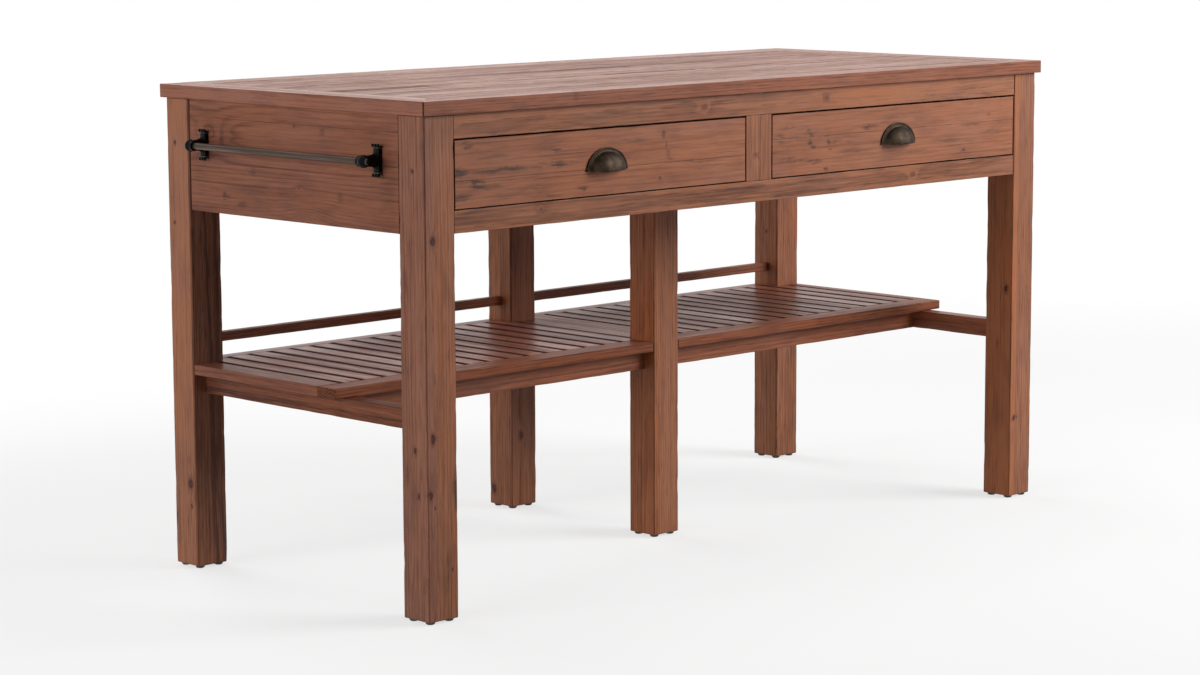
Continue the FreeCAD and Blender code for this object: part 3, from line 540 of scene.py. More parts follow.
def glued_panel(bm, low, high, along, seed):
    """Boards stacked edge to edge up the height of a panel."""
    levels = (low.z, *PANEL_GLUE_LINES, high.z)
    for number, tone in enumerate(PANEL_TONES):
        foot = Vector((low.x, low.y, levels[number]))
        head = Vector((high.x, high.y, levels[number + 1]))
        worn_board(bm, foot, head, along, seed + number, PANEL_EASE, PANEL_WEAR, [tone])


for side, seed in (("left", 21), ("right", 25)):
    low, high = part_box("end_panel_" + side)
    low.y = leg["front_" + side][1].y + PANEL_GAP
    high.y = leg["back_" + side][0].y - PANEL_GAP
    bm = new_timber()
    glued_panel(bm, low, high, 1, seed)
    make_crisp("end_boards_" + side, bm, panel_pine, "frame", "frame_pine", "end_panel_" + side)

# Back panels: boards glued up as at the ends, one panel each side of the back's middle leg. They are tongued
# into the legs and close the drawer space.
for side, seed, left_leg, right_leg in (
        ("left", 31, "back_left", "back_middle"), ("right", 35, "back_middle", "back_right")):
    low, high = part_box("back_panel_" + side)
    low.x = leg[left_leg][1].x + PANEL_GAP
    high.x = leg[right_leg][0].x - PANEL_GAP
    bm = new_timber()
    glued_panel(bm, low, high, 0, seed)
    make_crisp("back_boards_" + side, bm, panel_pine, "frame", "frame_pine", "back_panel_" + side)

# Shelf bearers: stretchers run from front to back at each end and in the middle, and rails join them under
# the shelf's front and back edges. All are square pine with the arrises just taken off.
BEARER_EASE = 0.0015
BEARER_WEAR = 0.0008
BEARER_LIGHT = (0.355, 0.120, 0.058)
BEARER_MIDDLE = (0.235, 0.074, 0.034)
LEFT_RAIL_TONE = (0.0, 0.2)
RIGHT_RAIL_TONE = (0.05, 0.2)
bearer_pine = pine("bearer_pine", BEARER_LIGHT, BEARER_MIDDLE, LEG_DARK, figure=0.6, streaks=0.6)
left_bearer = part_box("stretcher_left")
middle_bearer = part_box("stretcher_middle")
right_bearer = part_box("stretcher_right")
for side, seed, (low, high), front_leg, back_leg, darker in (
        ("left", 41, left_bearer, "front_left", "back_left", 0.36),
        ("middle", 42, middle_bearer, "shelf_middle", "back_middle", 0.20),
        ("right", 43, right_bearer, "front_right", "back_right", -0.20)):
    bm = new_timber()
    worn_board(bm, (low.x, leg[front_leg][1].y, low.z), (high.x, leg[back_leg][0].y, high.z), 1, seed,
               BEARER_EASE, BEARER_WEAR, [(darker, 0.0)])
    make_crisp("bearer_" + side, bm, bearer_pine, "frame", "frame_pine", "stretcher_" + side)
for side, seed, start, (middle_low, middle_high), finish in (
        ("front", 44, left_bearer[1].x, leg["shelf_middle"], right_bearer[0].x),
        ("back", 46, leg["back_left"][1].x, leg["back_middle"], leg["back_right"][0].x)):
    low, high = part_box("shelf_%s_rails" % side)
    bm = new_timber()
    worn_board(bm, (start, low.y, low.z), (middle_low.x, high.y, high.z), 0, seed,
               BEARER_EASE, BEARER_WEAR, [LEFT_RAIL_TONE])
    worn_board(bm, (middle_high.x, low.y, low.z), (finish, high.y, high.z), 0, seed + 1,
               BEARER_EASE, BEARER_WEAR, [RIGHT_RAIL_TONE])
    make_crisp("bearing_rails_" + side, bm, bearer_pine, "frame", "frame_pine", "shelf_%s_rails" % side)

# Shelf: front boards on the bearers, with slats, end boards and a back board let into them by tongues. The
# slats lie a finger's width apart, painted darker along their edges as shade from the slots, with a dull
# shine where things are pushed about. The left half's slats are painted lighter, as light, and the right
# half's and the back board darker, as shade.
LIT_SHELF_LIGHT = (0.460, 0.165, 0.105)
LIT_SHELF_MIDDLE = (0.335, 0.110, 0.066)
SHELF_DARK = (0.075, 0.024, 0.014)
SHADED_LIGHT = (0.280, 0.098, 0.056)
SHADED_MIDDLE = (0.200, 0.064, 0.035)
NOSING_LIGHT = (0.322, 0.112, 0.058)
NOSING_MIDDLE = (0.230, 0.075, 0.036)
SHELF_EASE = 0.0022
SHELF_WEAR = 0.0010
SLAT_PITCH = 0.051
SLOT_WIDTH = 0.008
SLAT_EDGE = (0.315, 0.365)
SLAT_EDGE_SHADE = 0.80
nosing_pine = pine("nosing_pine", NOSING_LIGHT, NOSING_MIDDLE, SHELF_DARK, gloss=0.42, shine=0.10, figure=0.6,
                   streaks=0.6)
# The left half's slats take a lighter pine, painted light, and the right half's a shaded copy, painted shade.
for side, seed, tone, light, middle, shine in (
        ("left", 51, (0.06, 0.2), LIT_SHELF_LIGHT, LIT_SHELF_MIDDLE, 0.27),
        ("right", 52, (0.0, 0.1), SHADED_LIGHT, SHADED_MIDDLE, 0.24)):
    low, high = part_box("shelf_front_board_" + side)
    bm = new_timber()
    worn_board(bm, low, high, 0, seed, SHELF_EASE, SHELF_WEAR, [tone])
    make_crisp("shelf_nosing_" + side, bm, nosing_pine, "frame", "shelf_pine", "shelf_front_board_" + side)
    first_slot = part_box("shelf_slats_" + side)[0].x - SLOT_WIDTH / 2
    # The slats' side faces and the margins of their tops are painted dark, as shade in the slots.
    slat_row = (first_slot, SLAT_PITCH, SLAT_EDGE, SLAT_EDGE_SHADE)
    slat_pine = pine("slat_pine_" + side, light, middle, SHELF_DARK, along=1, row=slat_row, shut=0,
                     gloss=0.38, shine=shine, figure=0.6, streaks=0.6)
    dress(slat_pine, "shelf_slats_" + side)
end_pine = pine("shelf_end_pine", NOSING_LIGHT, NOSING_MIDDLE, SHELF_DARK, along=1, gloss=0.42, figure=0.6,
                streaks=0.6)
dress(end_pine, "shelf_end_boards_left", "shelf_end_boards_right")
dress(pine("shelf_back_pine", SHADED_LIGHT, SHADED_MIDDLE, SHELF_DARK, along=0, gloss=0.38, shine=0.32),
      "shelf_back_board_left", "shelf_back_board_right")

# Gallery bars: square pine bars between the back legs, just above the shelf, that stop things going over
# the back edge. Their ends are pegged into the legs.
GALLERY_EASE = 0.0014
GALLERY_WEAR = 0.0005
GALLERY_TONE = (0.12, 0.0)
for side, seed, left_leg, right_leg in (
        ("left", 61, "back_left", "back_middle"), ("right", 62, "back_middle", "back_right")):
    low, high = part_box("gallery_bar_" + side)
    low.x = leg[left_leg][1].x
    high.x = leg[right_leg][0].x
    bm = new_timber()
    worn_board(bm, low, high, 0, seed, GALLERY_EASE, GALLERY_WEAR, [GALLERY_TONE])
    make_crisp("gallery_rod_" + side, bm, bearer_pine, "frame", "frame_pine", "gallery_bar_" + side)

# Worktop: four border boards mitred at the corners round five planks of uneven width. The top is rubbed and
# dry with a soft sheen and its outer edges are rounded over. The mitres and some of the planks' joints have
# opened and hold dirt, and the planks' faces inside their joints are painted dark as shade.
TOP_LIGHT = (0.415, 0.182, 0.112)
TOP_MIDDLE = (0.272, 0.105, 0.060)
TOP_DARK = (0.070, 0.023, 0.012)
TOP_ROUND = 0.0030
TOP_UNDER = 0.0009
TOP_EASE = 0.0016
TOP_WEAR = 0.0005
MITRE_GAP = 0.00004
MITRE_EASE = 0.0028
MITRE_STAIN = 0.95
PLANK_TONES = ((0.02, 0.0), (-0.02, 0.1), (0.05, 0.0), (0.00, -0.1), (0.04, 0.1))
PLANK_SEED = 80
PLANK_END_STAIN = 0.5
PLANK_GAP = 0.0002
OPEN_JOINTS = (1, 2)
OPEN_JOINT = 0.0009
OPEN_JOINT_END = 0.1
OPEN_JOINT_RUN = 0.9
border = {side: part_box("top_border_" + side) for side in ("front", "right", "back", "left")}
top_low = Vector((border["left"][0].x, border["front"][0].y, border["front"][0].z))
top_high = Vector((border["right"][1].x, border["back"][1].y, border["front"][1].z))
top_knots = on_face(
    2, top_high.z, (-0.6800, 0.1075, 0.0060), (-0.6889, 0.2437, 0.0050), (-0.1039, 0.0182, 0.0045),
    (0.4548, 0.2800, 0.0060), (0.4860, -0.2100, 0.0065), (-0.3800, -0.2300, 0.0050),
    (-0.3900, 0.2500, 0.0045), (0.1800, -0.0600, 0.0050))
top_marks = [
    *on_face(1, top_low.y, (-0.6063, 0.893, (0.030, 0.010, 0.012), 0.4),
             (-0.4700, 0.905, (0.012, 0.010, 0.016), 0.35)),
    *on_face(2, top_high.z, (-0.3500, -0.1435, (0.520, 0.004, 0.010), 0.4),
             (-0.4500, -0.0235, (0.420, 0.004, 0.010), 0.4), (0.3500, -0.1435, (0.420, 0.004, 0.010), 0.5),
             (-0.7390, 0.0000, (0.004, 0.300, 0.010), 0.5)),
]
top_pine = pine("top_pine", TOP_LIGHT, TOP_MIDDLE, TOP_DARK, top_knots, top_marks, run=0,
                gloss=0.45, shine=0.47, dullness=0.35, figure=1.4, streaks=1.5, lively=2)


def edges_in(bm, *planes):
    """The edges that lie in all of some planes, each a point and the way it faces."""
    return [e for e in bm.edges if all(abs((vert.co - Vector(point)).dot(Vector(outward))) < 1e-6
                                       for vert in e.verts for point, outward in planes)]


for side, seed, along, outer_axis, outer, tone in (
        ("front", 71, 0, 1, top_low.y, (-0.12, 0.6)), ("right", 72, 1, 0, top_high.x, (-0.20, 0.2)),
        ("back", 73, 0, 1, top_high.y, (-0.20, 0.2)), ("left", 74, 1, 0, top_low.x, (-0.28, -0.1))):
    low, high = border[side]
    inward = 1.0 if outer == low[outer_axis] else -1.0
    mitres = []
    for end, sign in ((low[along], -1.0), (high[along], 1.0)):
        corner = Vector((0.0, 0.0, 0.0))
        corner[along] = end
        corner[outer_axis] = outer
        outward = Vector((0.0, 0.0, 0.0))
        outward[along] = sign
        outward[outer_axis] = inward
        outward.normalize()
        mitres.append((corner - outward * MITRE_GAP, outward))
    bm = new_timber()
    before = sawn_board(bm, low, high, mitres)
    across = Vector((float(outer_axis == 0), float(outer_axis == 1), 0.0))
    outside = (across * outer, across)
    inside = (across * (high if inward > 0 else low)[outer_axis], across)
    above = ((0, 0, high.z), (0, 0, 1))
    below = ((0, 0, low.z), (0, 0, 1))
    for mitre in mitres:
        ease(bm, edges_in(bm, mitre, outside), MITRE_EASE)
    for level, size in ((above, TOP_ROUND), (below, TOP_UNDER)):
        joints = {e for plane in (inside, *mitres) for e in edges_in(bm, plane)}
        ease(bm, [e for e in edges_in(bm, level) if e not in joints], size)
    ease(bm, [e for e in edges_in(bm, inside) if abs(e.verts[0].co.z - e.verts[1].co.z) < 1e-6], TOP_EASE)
    for mitre in mitres:
        ease(bm, edges_in(bm, mitre, above), TOP_EASE)
    weather(bm, before, low, high, along, seed, TOP_ROUND, TOP_WEAR, [tone], end_stain_and_shade=MITRE_STAIN)
    make_crisp("worktop_border_" + side, bm, top_pine, "frame", "worktop_pine", "top_border_" + side)
for number, tone in enumerate(PLANK_TONES, 1):
    low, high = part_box("top_plank_%d" % number)
    low.x = border["left"][1].x
    high.x = border["right"][0].x
    low.y = max(low.y, border["front"][1].y) + PLANK_GAP
    high.y = min(high.y, border["back"][0].y) - PLANK_GAP
    bm = new_timber()
    # The plank's faces inside its joints are painted dark, as shade in the joints.
    worn_board(bm, low, high, 0, PLANK_SEED + number, TOP_EASE, TOP_WEAR, [tone], shut=1,
               end_stain_and_shade=PLANK_END_STAIN)
    for vert in bm.verts:
        opened = max(0.0, (OPEN_JOINT_END - vert.co.x) / OPEN_JOINT_RUN) * OPEN_JOINT
        if number - 1 in OPEN_JOINTS and vert.co.y < low.y + 2 * TOP_EASE:
            vert.co.y += opened
        if number in OPEN_JOINTS and vert.co.y > high.y - 2 * TOP_EASE:
            vert.co.y -= opened
    make_crisp("worktop_plank_%d" % number, bm, top_pine, "frame", "worktop_pine", "top_plank_%d" % number)

# Runners and kickers: plain pine strips screwed to the legs, which carry the drawers and stop them tipping.
# They are left unstained, and the screws are zinc plated.
RAW_LIGHT = (0.610, 0.400, 0.230)
RAW_MIDDLE = (0.530, 0.320, 0.170)
RAW_DARK = (0.350, 0.185, 0.090)
ZINC = (0.420, 0.410, 0.385, 1.0)
ZINC_DULL = (0.250, 0.240, 0.220, 1.0)
WEAR_AND_SHEEN_BRIGHT = (2.3, 2.2, 2.1)
METAL_GRIT = (420, 420, 420)


def metal(name, colour, dull, rough, spread, wear=(90, 90, 90)):
    """A metal with dull patches, bright where it is rubbed and where a reflection is painted, and grit in its
    surface.
    """
    material, first = new_finish(name)
    place = first.add("TexCoord", {}, {}, 3)
    worn = place.noise(wear, 4).step(0.30, 0.72)
    tint = first.add("Mix", {"data_type": "RGBA"}, {0: worn, 6: colour, 7: dull}, 2)
    rubbed = first.add("Attribute", {"attribute_name": "rubbed"}, {}, 2)
    tint = tint.tinted(WEAR_AND_SHEEN_BRIGHT, rubbed * (1.0 - worn * 0.6))
    grit = place.noise(METAL_GRIT, 3)
    normal = first.add("Bump", {}, {"Strength": 0.18, "Distance": 0.0003, "Height": grit})
    roughness = worn * spread + rough
    surface(first, {"Base Color": tint, "Metallic": 1.0, "Roughness": roughness, "Normal": normal})
    return material


runner_pine = pine("runner_pine", RAW_LIGHT, RAW_MIDDLE, RAW_DARK, along=1, gloss=0.6)
dress(runner_pine, "drawer_runners", "drawer_kickers")
zinc_steel = metal("zinc_screw_steel", ZINC, ZINC_DULL, 0.30, 0.2)
dress(zinc_steel, "runner_screws", "worktop_screws")

# Drawers: inset fronts glued up from two stained boards, on pale boxes with lapped dovetails, a housed back
# and a plywood bottom in grooves. The fronts keep old knots, dents and dark smears from their earlier use.
FRONT_LIGHT = (0.385, 0.150, 0.078)
FRONT_MIDDLE = (0.280, 0.098, 0.046)
FRONT_DARK = (0.090, 0.030, 0.015)
FRONT_EASE = 0.0007
FRONT_WEAR = 0.0006
FRONT_TRIM = 0.0009
TAIL_SHOW = 0.0007
front_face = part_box("drawer_left_front")[0].y
front_knots = on_face(1, front_face, (-0.7430, 0.7870, 0.0050), (-0.4410, 0.7365, 0.0028),
                      (-0.7069, 0.7661, 0.0028), (0.2090, 0.7320, 0.0028), (-0.2480, 0.7450, 0.0024),
                      (0.6290, 0.7430, 0.0030))
front_smears = (
    (-0.7230, 0.8330, 0.020, 0.0110, 0.92), (-0.7430, 0.7860, 0.030, 0.0110, 0.76),
    (-0.7400, 0.7430, 0.041, 0.0110, 0.60), (-0.6980, 0.7640, 0.027, 0.0119, 0.74),
    (-0.6700, 0.7580, 0.054, 0.0085, 0.49), (-0.6400, 0.7850, 0.101, 0.0085, 0.74),
    (-0.5180, 0.7870, 0.088, 0.0076, 0.81), (-0.5050, 0.8120, 0.027, 0.0068, 0.59),
    (-0.6700, 0.8100, 0.068, 0.0102, 0.38), (-0.5300, 0.8150, 0.081, 0.0085, 0.32),
    (-0.5550, 0.7500, 0.068, 0.0102, 0.38), (-0.4450, 0.7400, 0.022, 0.0068, 0.65),
    (-0.5360, 0.7310, 0.054, 0.0051, 0.54), (-0.1410, 0.7690, 0.081, 0.0051, 0.49),
    (-0.3300, 0.8180, 0.081, 0.0051, 0.43), (0.3380, 0.8050, 0.035, 0.0085, 0.81),
    (0.0780, 0.7970, 0.024, 0.0119, 0.59), (0.1200, 0.7560, 0.068, 0.0085, 0.59),
    (0.1750, 0.7480, 0.030, 0.0076, 0.76), (0.1150, 0.8150, 0.068, 0.0059, 0.43),
    (0.7090, 0.8110, 0.014, 0.0051, 0.43), (0.4050, 0.8200, 0.068, 0.0043, 0.38),
    (0.5850, 0.7650, 0.081, 0.0059, 0.43), (0.7200, 0.7750, 0.054, 0.0085, 0.38),
    (0.2990, 0.7620, 0.068, 0.0059, 0.43), (0.4730, 0.7480, 0.081, 0.0051, 0.38),
    (0.2520, 0.7808, 0.041, 0.0051, 0.54), (0.6530, 0.7930, 0.054, 0.0051, 0.38),
    (0.1300, 0.7850, 0.110, 0.0300, 0.26), (0.2600, 0.7900, 0.080, 0.0200, 0.20),
    (-0.7200, 0.7700, 0.060, 0.0450, 0.22), (-0.6000, 0.7400, 0.120, 0.0120, 0.20),
    (0.1600, 0.8070, 0.013, 0.0070, 0.60), (0.1660, 0.7970, 0.008, 0.0090, 0.65),
    (0.1620, 0.7850, 0.010, 0.0070, 0.60), (0.1730, 0.7760, 0.013, 0.0050, 0.55),
    (0.2140, 0.7930, 0.015, 0.0050, 0.55), (0.2180, 0.7820, 0.009, 0.0080, 0.60),
    (0.2240, 0.7700, 0.013, 0.0050, 0.40), (-0.2380, 0.8260, 0.006, 0.0150, 0.65),
    (-0.2310, 0.8060, 0.005, 0.0130, 0.55), (-0.2260, 0.7880, 0.008, 0.0100, 0.65),
    (-0.2200, 0.7780, 0.015, 0.0040, 0.45))
front_marks = on_face(1, front_face, *(
    (x, z, (wide, SMEAR_DEPTH, tall), strength) for x, z, wide, tall, strength in front_smears))
front_pine = pine("drawer_face_pine", FRONT_LIGHT, FRONT_MIDDLE, FRONT_DARK, front_knots, front_marks, run=0,
                  figure=0.6, streaks=0.55, fine=0.85, heart_tone=0.7)
box_pine_sides = pine("drawer_side_pine", RAW_LIGHT, RAW_MIDDLE, RAW_DARK, along=1, gloss=0.55)
box_pine_back = pine("drawer_back_pine", RAW_LIGHT, RAW_MIDDLE, RAW_DARK, along=0, gloss=0.55)
drawer_ply = pine("drawer_bottom_ply", RAW_LIGHT, RAW_MIDDLE, RAW_DARK, along=0, gloss=0.5, streaks=0.5)
for side, seed, glue_line, lower_tone, upper_tone in (
        ("left", 91, 0.772, (0.13, -0.3), (-0.09, 0.1)), ("right", 95, 0.796, (0.00, -0.1), (-0.11, 0.1))):
    drawer = "drawer_" + side
    low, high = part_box(drawer + "_front")
    low.x += TAIL_SHOW
    high.x -= TAIL_SHOW
    high.z -= FRONT_TRIM
    bm = new_timber()
    boards = ((low.z, glue_line, lower_tone), (glue_line, high.z, upper_tone))
    for number, (bottom, top, tone) in enumerate(boards):
        # The front's faces in the gaps round it are painted dark, as shade.
        worn_board(bm, (low.x, low.y, bottom), (high.x, high.y, top), 0, seed + number,
                   FRONT_EASE, FRONT_WEAR, [tone], shut=2, end_stain_and_shade=GAP_FACE_SHADE)
    make_crisp(drawer + "_face", bm, front_pine, drawer, "drawer_front_pine", drawer + "_front")
    dress(box_pine_sides, drawer + "_side_left", drawer + "_side_right")
    dress(box_pine_back, drawer + "_back")
    dress(drawer_ply, drawer + "_bottom")
    dress(zinc_steel, drawer + "_pull_screws")

# Cup pulls: thin cast shells, a quarter of an egg open below for the fingers, with a flat flange and a bead
# round the arch. Two bosses inside take screws from behind. The metal is aged bronze, rubbed on the bead.
# The flange and the dome are half width, rise and reach in millimetres.
MM = 0.001
PULL_WALL = 0.0018
PULL_FLANGE = (
    (51.5, 42.0, 0.0), (51.5, 42.0, -2.2), (51.1, 41.6, -3.1), (50.4, 40.9, -3.5), (49.6, 40.1, -3.2),
    (49.2, 39.7, -2.5), (46.0, 36.5, -2.4), (44.9, 35.4, -2.9), (44.2, 34.7, -4.2))
PULL_DOME = (44.0, 34.5, 23.9)
DOME_STEPS = 16
DOME_START = 1.6
DOME_TIP = 0.5
BEAD_INSIDE = 49.0
BEAD_REACH = -3.0
BEAD_RUB = 0.8
LIP_RUB = 0.7
BOSS_RADIUS = 0.0045
BOSS_DEPTH = 0.0085
BOSS_RISE = 0.0130
BOSS_SPACING = 0.0640
BRONZE = (0.038, 0.027, 0.018, 1.0)
BRONZE_DULL = (0.020, 0.012, 0.009, 1.0)
aged_bronze = metal("aged_bronze_cast", BRONZE, BRONZE_DULL, 0.43, 0.12, (70, 70, 70))


def cup_pull(bm, centre):
    """The shell of a cup pull, drawn out from the flange's arch to the front of the cup."""
    rubbed = bm.verts.layers.float.new("rubbed")
    bmesh.ops.create_circle(bm, cap_ends=False, radius=1.0, segments=72,
                            matrix=Matrix.Rotation(pi / 2, 4, "X"))
    bmesh.ops.bisect_plane(bm, geom=bm.verts[:] + bm.edges[:], dist=1e-5, plane_co=(0, 0, 0),
                           plane_no=(0, 0, 1), clear_inner=True)
    stations = list(PULL_FLANGE)
    for number in range(DOME_STEPS):
        turn = pi / 2 * (number + DOME_START) / (DOME_STEPS - 1 + DOME_START)
        stations.append((PULL_DOME[0] * cos(turn), PULL_DOME[1] * cos(turn), -PULL_DOME[2] * sin(turn)))
    edges = bm.edges[:]
    verts = bm.verts[:]
    last = (1.0 / MM, 1.0 / MM, 0.0)
    for number, (half, rise, out) in enumerate(stations):
        if number:
            drawn = bmesh.ops.extrude_edge_only(bm, edges=edges)["geom"]
            verts = [part for part in drawn if isinstance(part, bmesh.types.BMVert)]
            edges = [part for part in drawn if isinstance(part, bmesh.types.BMEdge)]
        if half < DOME_TIP:
            bmesh.ops.pointmerge(bm, verts=verts, merge_co=(0.0, out * MM, 0.0))
            break
        bmesh.ops.scale(bm, vec=(half / last[0], 1.0, rise / last[1]), verts=verts)
        bmesh.ops.translate(bm, vec=(0.0, (out - last[2]) * MM, 0.0), verts=verts)
        last = (half, rise, out)
        for vert in verts:
            lip = LIP_RUB if abs(vert.co.z) < 1e-5 and half < BEAD_INSIDE else 0.0
            vert[rubbed] = BEAD_RUB if out < BEAD_REACH and half > BEAD_INSIDE else lip
    bmesh.ops.remove_doubles(bm, verts=bm.verts, dist=1e-6)
    bmesh.ops.recalc_face_normals(bm, faces=bm.faces)
    bmesh.ops.solidify(bm, geom=bm.faces[:], thickness=PULL_WALL)
    for side in (-1, 1):
        foot = Matrix.Translation((side * BOSS_SPACING / 2, -BOSS_DEPTH / 2, BOSS_RISE))
        bmesh.ops.create_cone(bm, cap_ends=True, segments=24, radius1=BOSS_RADIUS, radius2=BOSS_RADIUS,
                              depth=BOSS_DEPTH, matrix=foot @ Matrix.Rotation(pi / 2, 4, "X"))
    bmesh.ops.translate(bm, vec=centre, verts=bm.verts)


for side in ("left", "right"):
    drawer = "drawer_" + side
    low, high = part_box(drawer + "_pull")
    centre = Vector(((low.x + high.x) / 2, high.y, low.z))
    bm = bmesh.new()
    cup_pull(bm, centre)
    make_crisp(drawer + "_cup_pull", bm, aged_bronze, drawer, "aged_bronze", drawer + "_pull")

# Towel bar brackets: small iron castings screwed to the left end, each with a tall plate that ends in three
# toes above and below, a flared arm, and a knob bored for the bar and closed by a button. They are painted
# black. The arm's profile is reach and half width in millimetres.
IRON = (0.0024, 0.0021, 0.0020, 1.0)
IRON_DULL = (0.0050, 0.0045, 0.0042, 1.0)
PAINTED_IRON_HIGHLIGHT = (0.150, 0.140, 0.130, 1.0)
BRACKET_VOXEL = 0.0005
PLATE_SIZE = (0.0030, 0.0145, 0.0500)
BODY_SIZE = (0.0086, 0.0145, 0.0370)
TOE_RADIUS = 0.0028
TOE_ROOT = (0.0050, 0.0034, 0.0185)
TOE_TIP = (0.0094, 0.0070, 0.0264)
ARM_PROFILE = (
    (0.0, 18.6), (8.0, 18.4), (9.2, 17.0), (10.6, 15.2), (12.4, 13.4), (14.8, 11.9), (18.0, 10.9),
    (21.5, 10.4), (25.0, 10.1), (30.0, 10.0))
ARM_HALF_WIDTH = 0.0078
KNOB_RADIUS = 0.0115
COLLAR_RADIUS = 0.0098
COLLAR_REACH = 0.0125
BUTTON_RADIUS = 0.0052
BUTTON_REACH = 0.0078
TOE_LINE = 0.0218
TOE_START = (0.0205, 0.0210)
PLATE_SIDE = (0.010, 0.011)
HIGHLIGHT_LINE_FADE = (0.0002, 0.0008)
HIGHLIGHT_RING_FADE = (0.0004, 0.0014)
KNOB_SIDE = (0.0055, 0.0065)
KNOB_BACK = (-0.002, 0.001)
bar_low, bar_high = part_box("towel_bar")
bar_axis = (bar_low + bar_high) / 2


def band(value, middle, fade):
    """1 where a value is near a middle, and 0 away from it."""
    return 1.0 - (value - middle).maths("ABSOLUTE").step(*fade)


def iron_finish(name, middles):
    """Black painted iron, faintly lumpy from the mould, with painted highlights by the toes and round the
    buttons.
    """
    material, first = new_finish(name)
    place = first.add("TexCoord", {}, {}, 3)
    worn = place.noise((120, 120, 120), 3).step(0.42, 0.72)
    tint = first.add("Mix", {"data_type": "RGBA"}, {0: worn, 6: IRON, 7: IRON_DULL}, 2)
    off_axis = place.vector("SUBTRACT", bar_axis).vector("MULTIPLY", (1, 0, 1))
    ring = band(off_axis.vector("LENGTH", output=1), BUTTON_RADIUS, HIGHLIGHT_RING_FADE)
    ring = ring * (1.0 - off_axis.part(0).step(*KNOB_BACK))
    for middle in middles:
        across = (place.part(1) - middle.y).maths("ABSOLUTE")
        height = (place.part(2) - middle.z).maths("ABSOLUTE")
        beside = band(across, TOE_TIP[1] / 2, HIGHLIGHT_LINE_FADE).maths("MAXIMUM", band(height, TOE_LINE, HIGHLIGHT_LINE_FADE))
        on_plate = (1.0 - across.step(*PLATE_SIDE)) * height.step(*TOE_START)
        tint = tint.mixed(PAINTED_IRON_HIGHLIGHT, beside * on_plate)
        tint = tint.mixed(PAINTED_IRON_HIGHLIGHT, ring * across.step(*KNOB_SIDE))
    lumps = place.noise((380, 380, 380), 3)
    normal = first.add("Bump", {}, {"Strength": 0.25, "Distance": 0.0004, "Height": lumps})
    surface(first, {"Base Color": tint, "Roughness": worn * 0.12 + 0.20, "Specular IOR Level": 0.08,
                    "Normal": normal})
    return material


def capsule(bm, start, end, radius):
    """A bar with round ends, for a cast toe."""
    turn = (end - start).to_track_quat("Z", "Y").to_matrix().to_4x4()
    middle = Matrix.Translation((start + end) / 2) @ turn
    bmesh.ops.create_cone(bm, cap_ends=True, segments=20, radius1=radius, radius2=radius,
                          depth=(end - start).length, matrix=middle)
    for tip in (start, end):
        bmesh.ops.create_uvsphere(bm, u_segments=20, v_segments=12, radius=radius,
                                  matrix=Matrix.Translation(tip))


bracket_middles = {}
for side, inward in (("front", 1.0), ("back", -1.0)):
    low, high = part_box("towel_bracket_" + side)
    knob_side = low.y + KNOB_RADIUS if inward > 0 else high.y - KNOB_RADIUS
    bracket_middles[side] = Vector((high.x, knob_side, bar_axis.z))
black_iron = iron_finish("black_painted_iron", list(bracket_middles.values()))
dress(black_iron, "towel_bracket_screws")
for side, inward in (("front", 1.0), ("back", -1.0)):
    middle = bracket_middles[side]
    bm = bmesh.new()
    for size in (PLATE_SIZE, BODY_SIZE):
        slab = bmesh.ops.create_cube(bm, size=1.0)["verts"]
        bmesh.ops.scale(bm, vec=size, verts=slab)
        bmesh.ops.translate(bm, vec=middle - Vector((size[0] / 2, 0, 0)), verts=slab)
    for end in (1, -1):
        for fan in (-1, 0, 1):
            root = middle + Vector((-TOE_ROOT[0], fan * TOE_ROOT[1], end * TOE_ROOT[2]))
            tip = middle + Vector((-TOE_TIP[0], fan * TOE_TIP[1], end * TOE_TIP[2]))
            capsule(bm, root, tip, TOE_RADIUS)
    others = set(bm.verts)
    outline = [bmesh.ops.create_vert(bm, co=middle + Vector((-out * MM, 0, wide * MM)))["vert"][0]
               for out, wide in ((ARM_PROFILE[0][0], 0.0), *ARM_PROFILE, (ARM_PROFILE[-1][0], 0.0))]
    rib = [bm.edges.new(pair) for pair in zip(outline, outline[1:])]
    bmesh.ops.spin(bm, geom=outline + rib, cent=middle, axis=(1, 0, 0), angle=2 * pi, steps=32,
                   use_merge=True)
    for vert in bm.verts:
        if vert not in others:
            spread = Vector((vert.co.y - middle.y, vert.co.z - middle.z)).length
            vert.co.y = middle.y + (vert.co.y - middle.y) * min(1.0, ARM_HALF_WIDTH / max(spread, 1e-6))
    knob = Vector((bar_axis.x, middle.y, bar_axis.z))
    bmesh.ops.create_uvsphere(bm, u_segments=32, v_segments=20, radius=KNOB_RADIUS,
                              matrix=Matrix.Translation(knob))
    bmesh.ops.create_uvsphere(bm, u_segments=20, v_segments=12, radius=BUTTON_RADIUS,
                              matrix=Matrix.Translation(knob - Vector((0, inward * BUTTON_REACH, 0))))
    collar_middle = knob + Vector((0, inward * COLLAR_REACH / 2, 0))
    collar = Matrix.Translation(collar_middle) @ Matrix.Rotation(pi / 2, 4, "X")
    bmesh.ops.create_cone(bm, cap_ends=True, segments=32, radius1=COLLAR_RADIUS, radius2=COLLAR_RADIUS,
                          depth=COLLAR_REACH, matrix=collar)
    bmesh.ops.remove_doubles(bm, verts=bm.verts, dist=1e-6)
    bracket = make_piece("towel_bracket_cast_" + side, bm, black_iron, "frame", "black_iron",
                         "towel_bracket_" + side)
    fuse = bracket.modifiers.new("cast", "REMESH")
    fuse.mode = "VOXEL"
    fuse.voxel_size = BRACKET_VOXEL
    fuse.use_smooth_shade = True
    soften = bracket.modifiers.new("soften", "SMOOTH")
    soften.iterations = 2

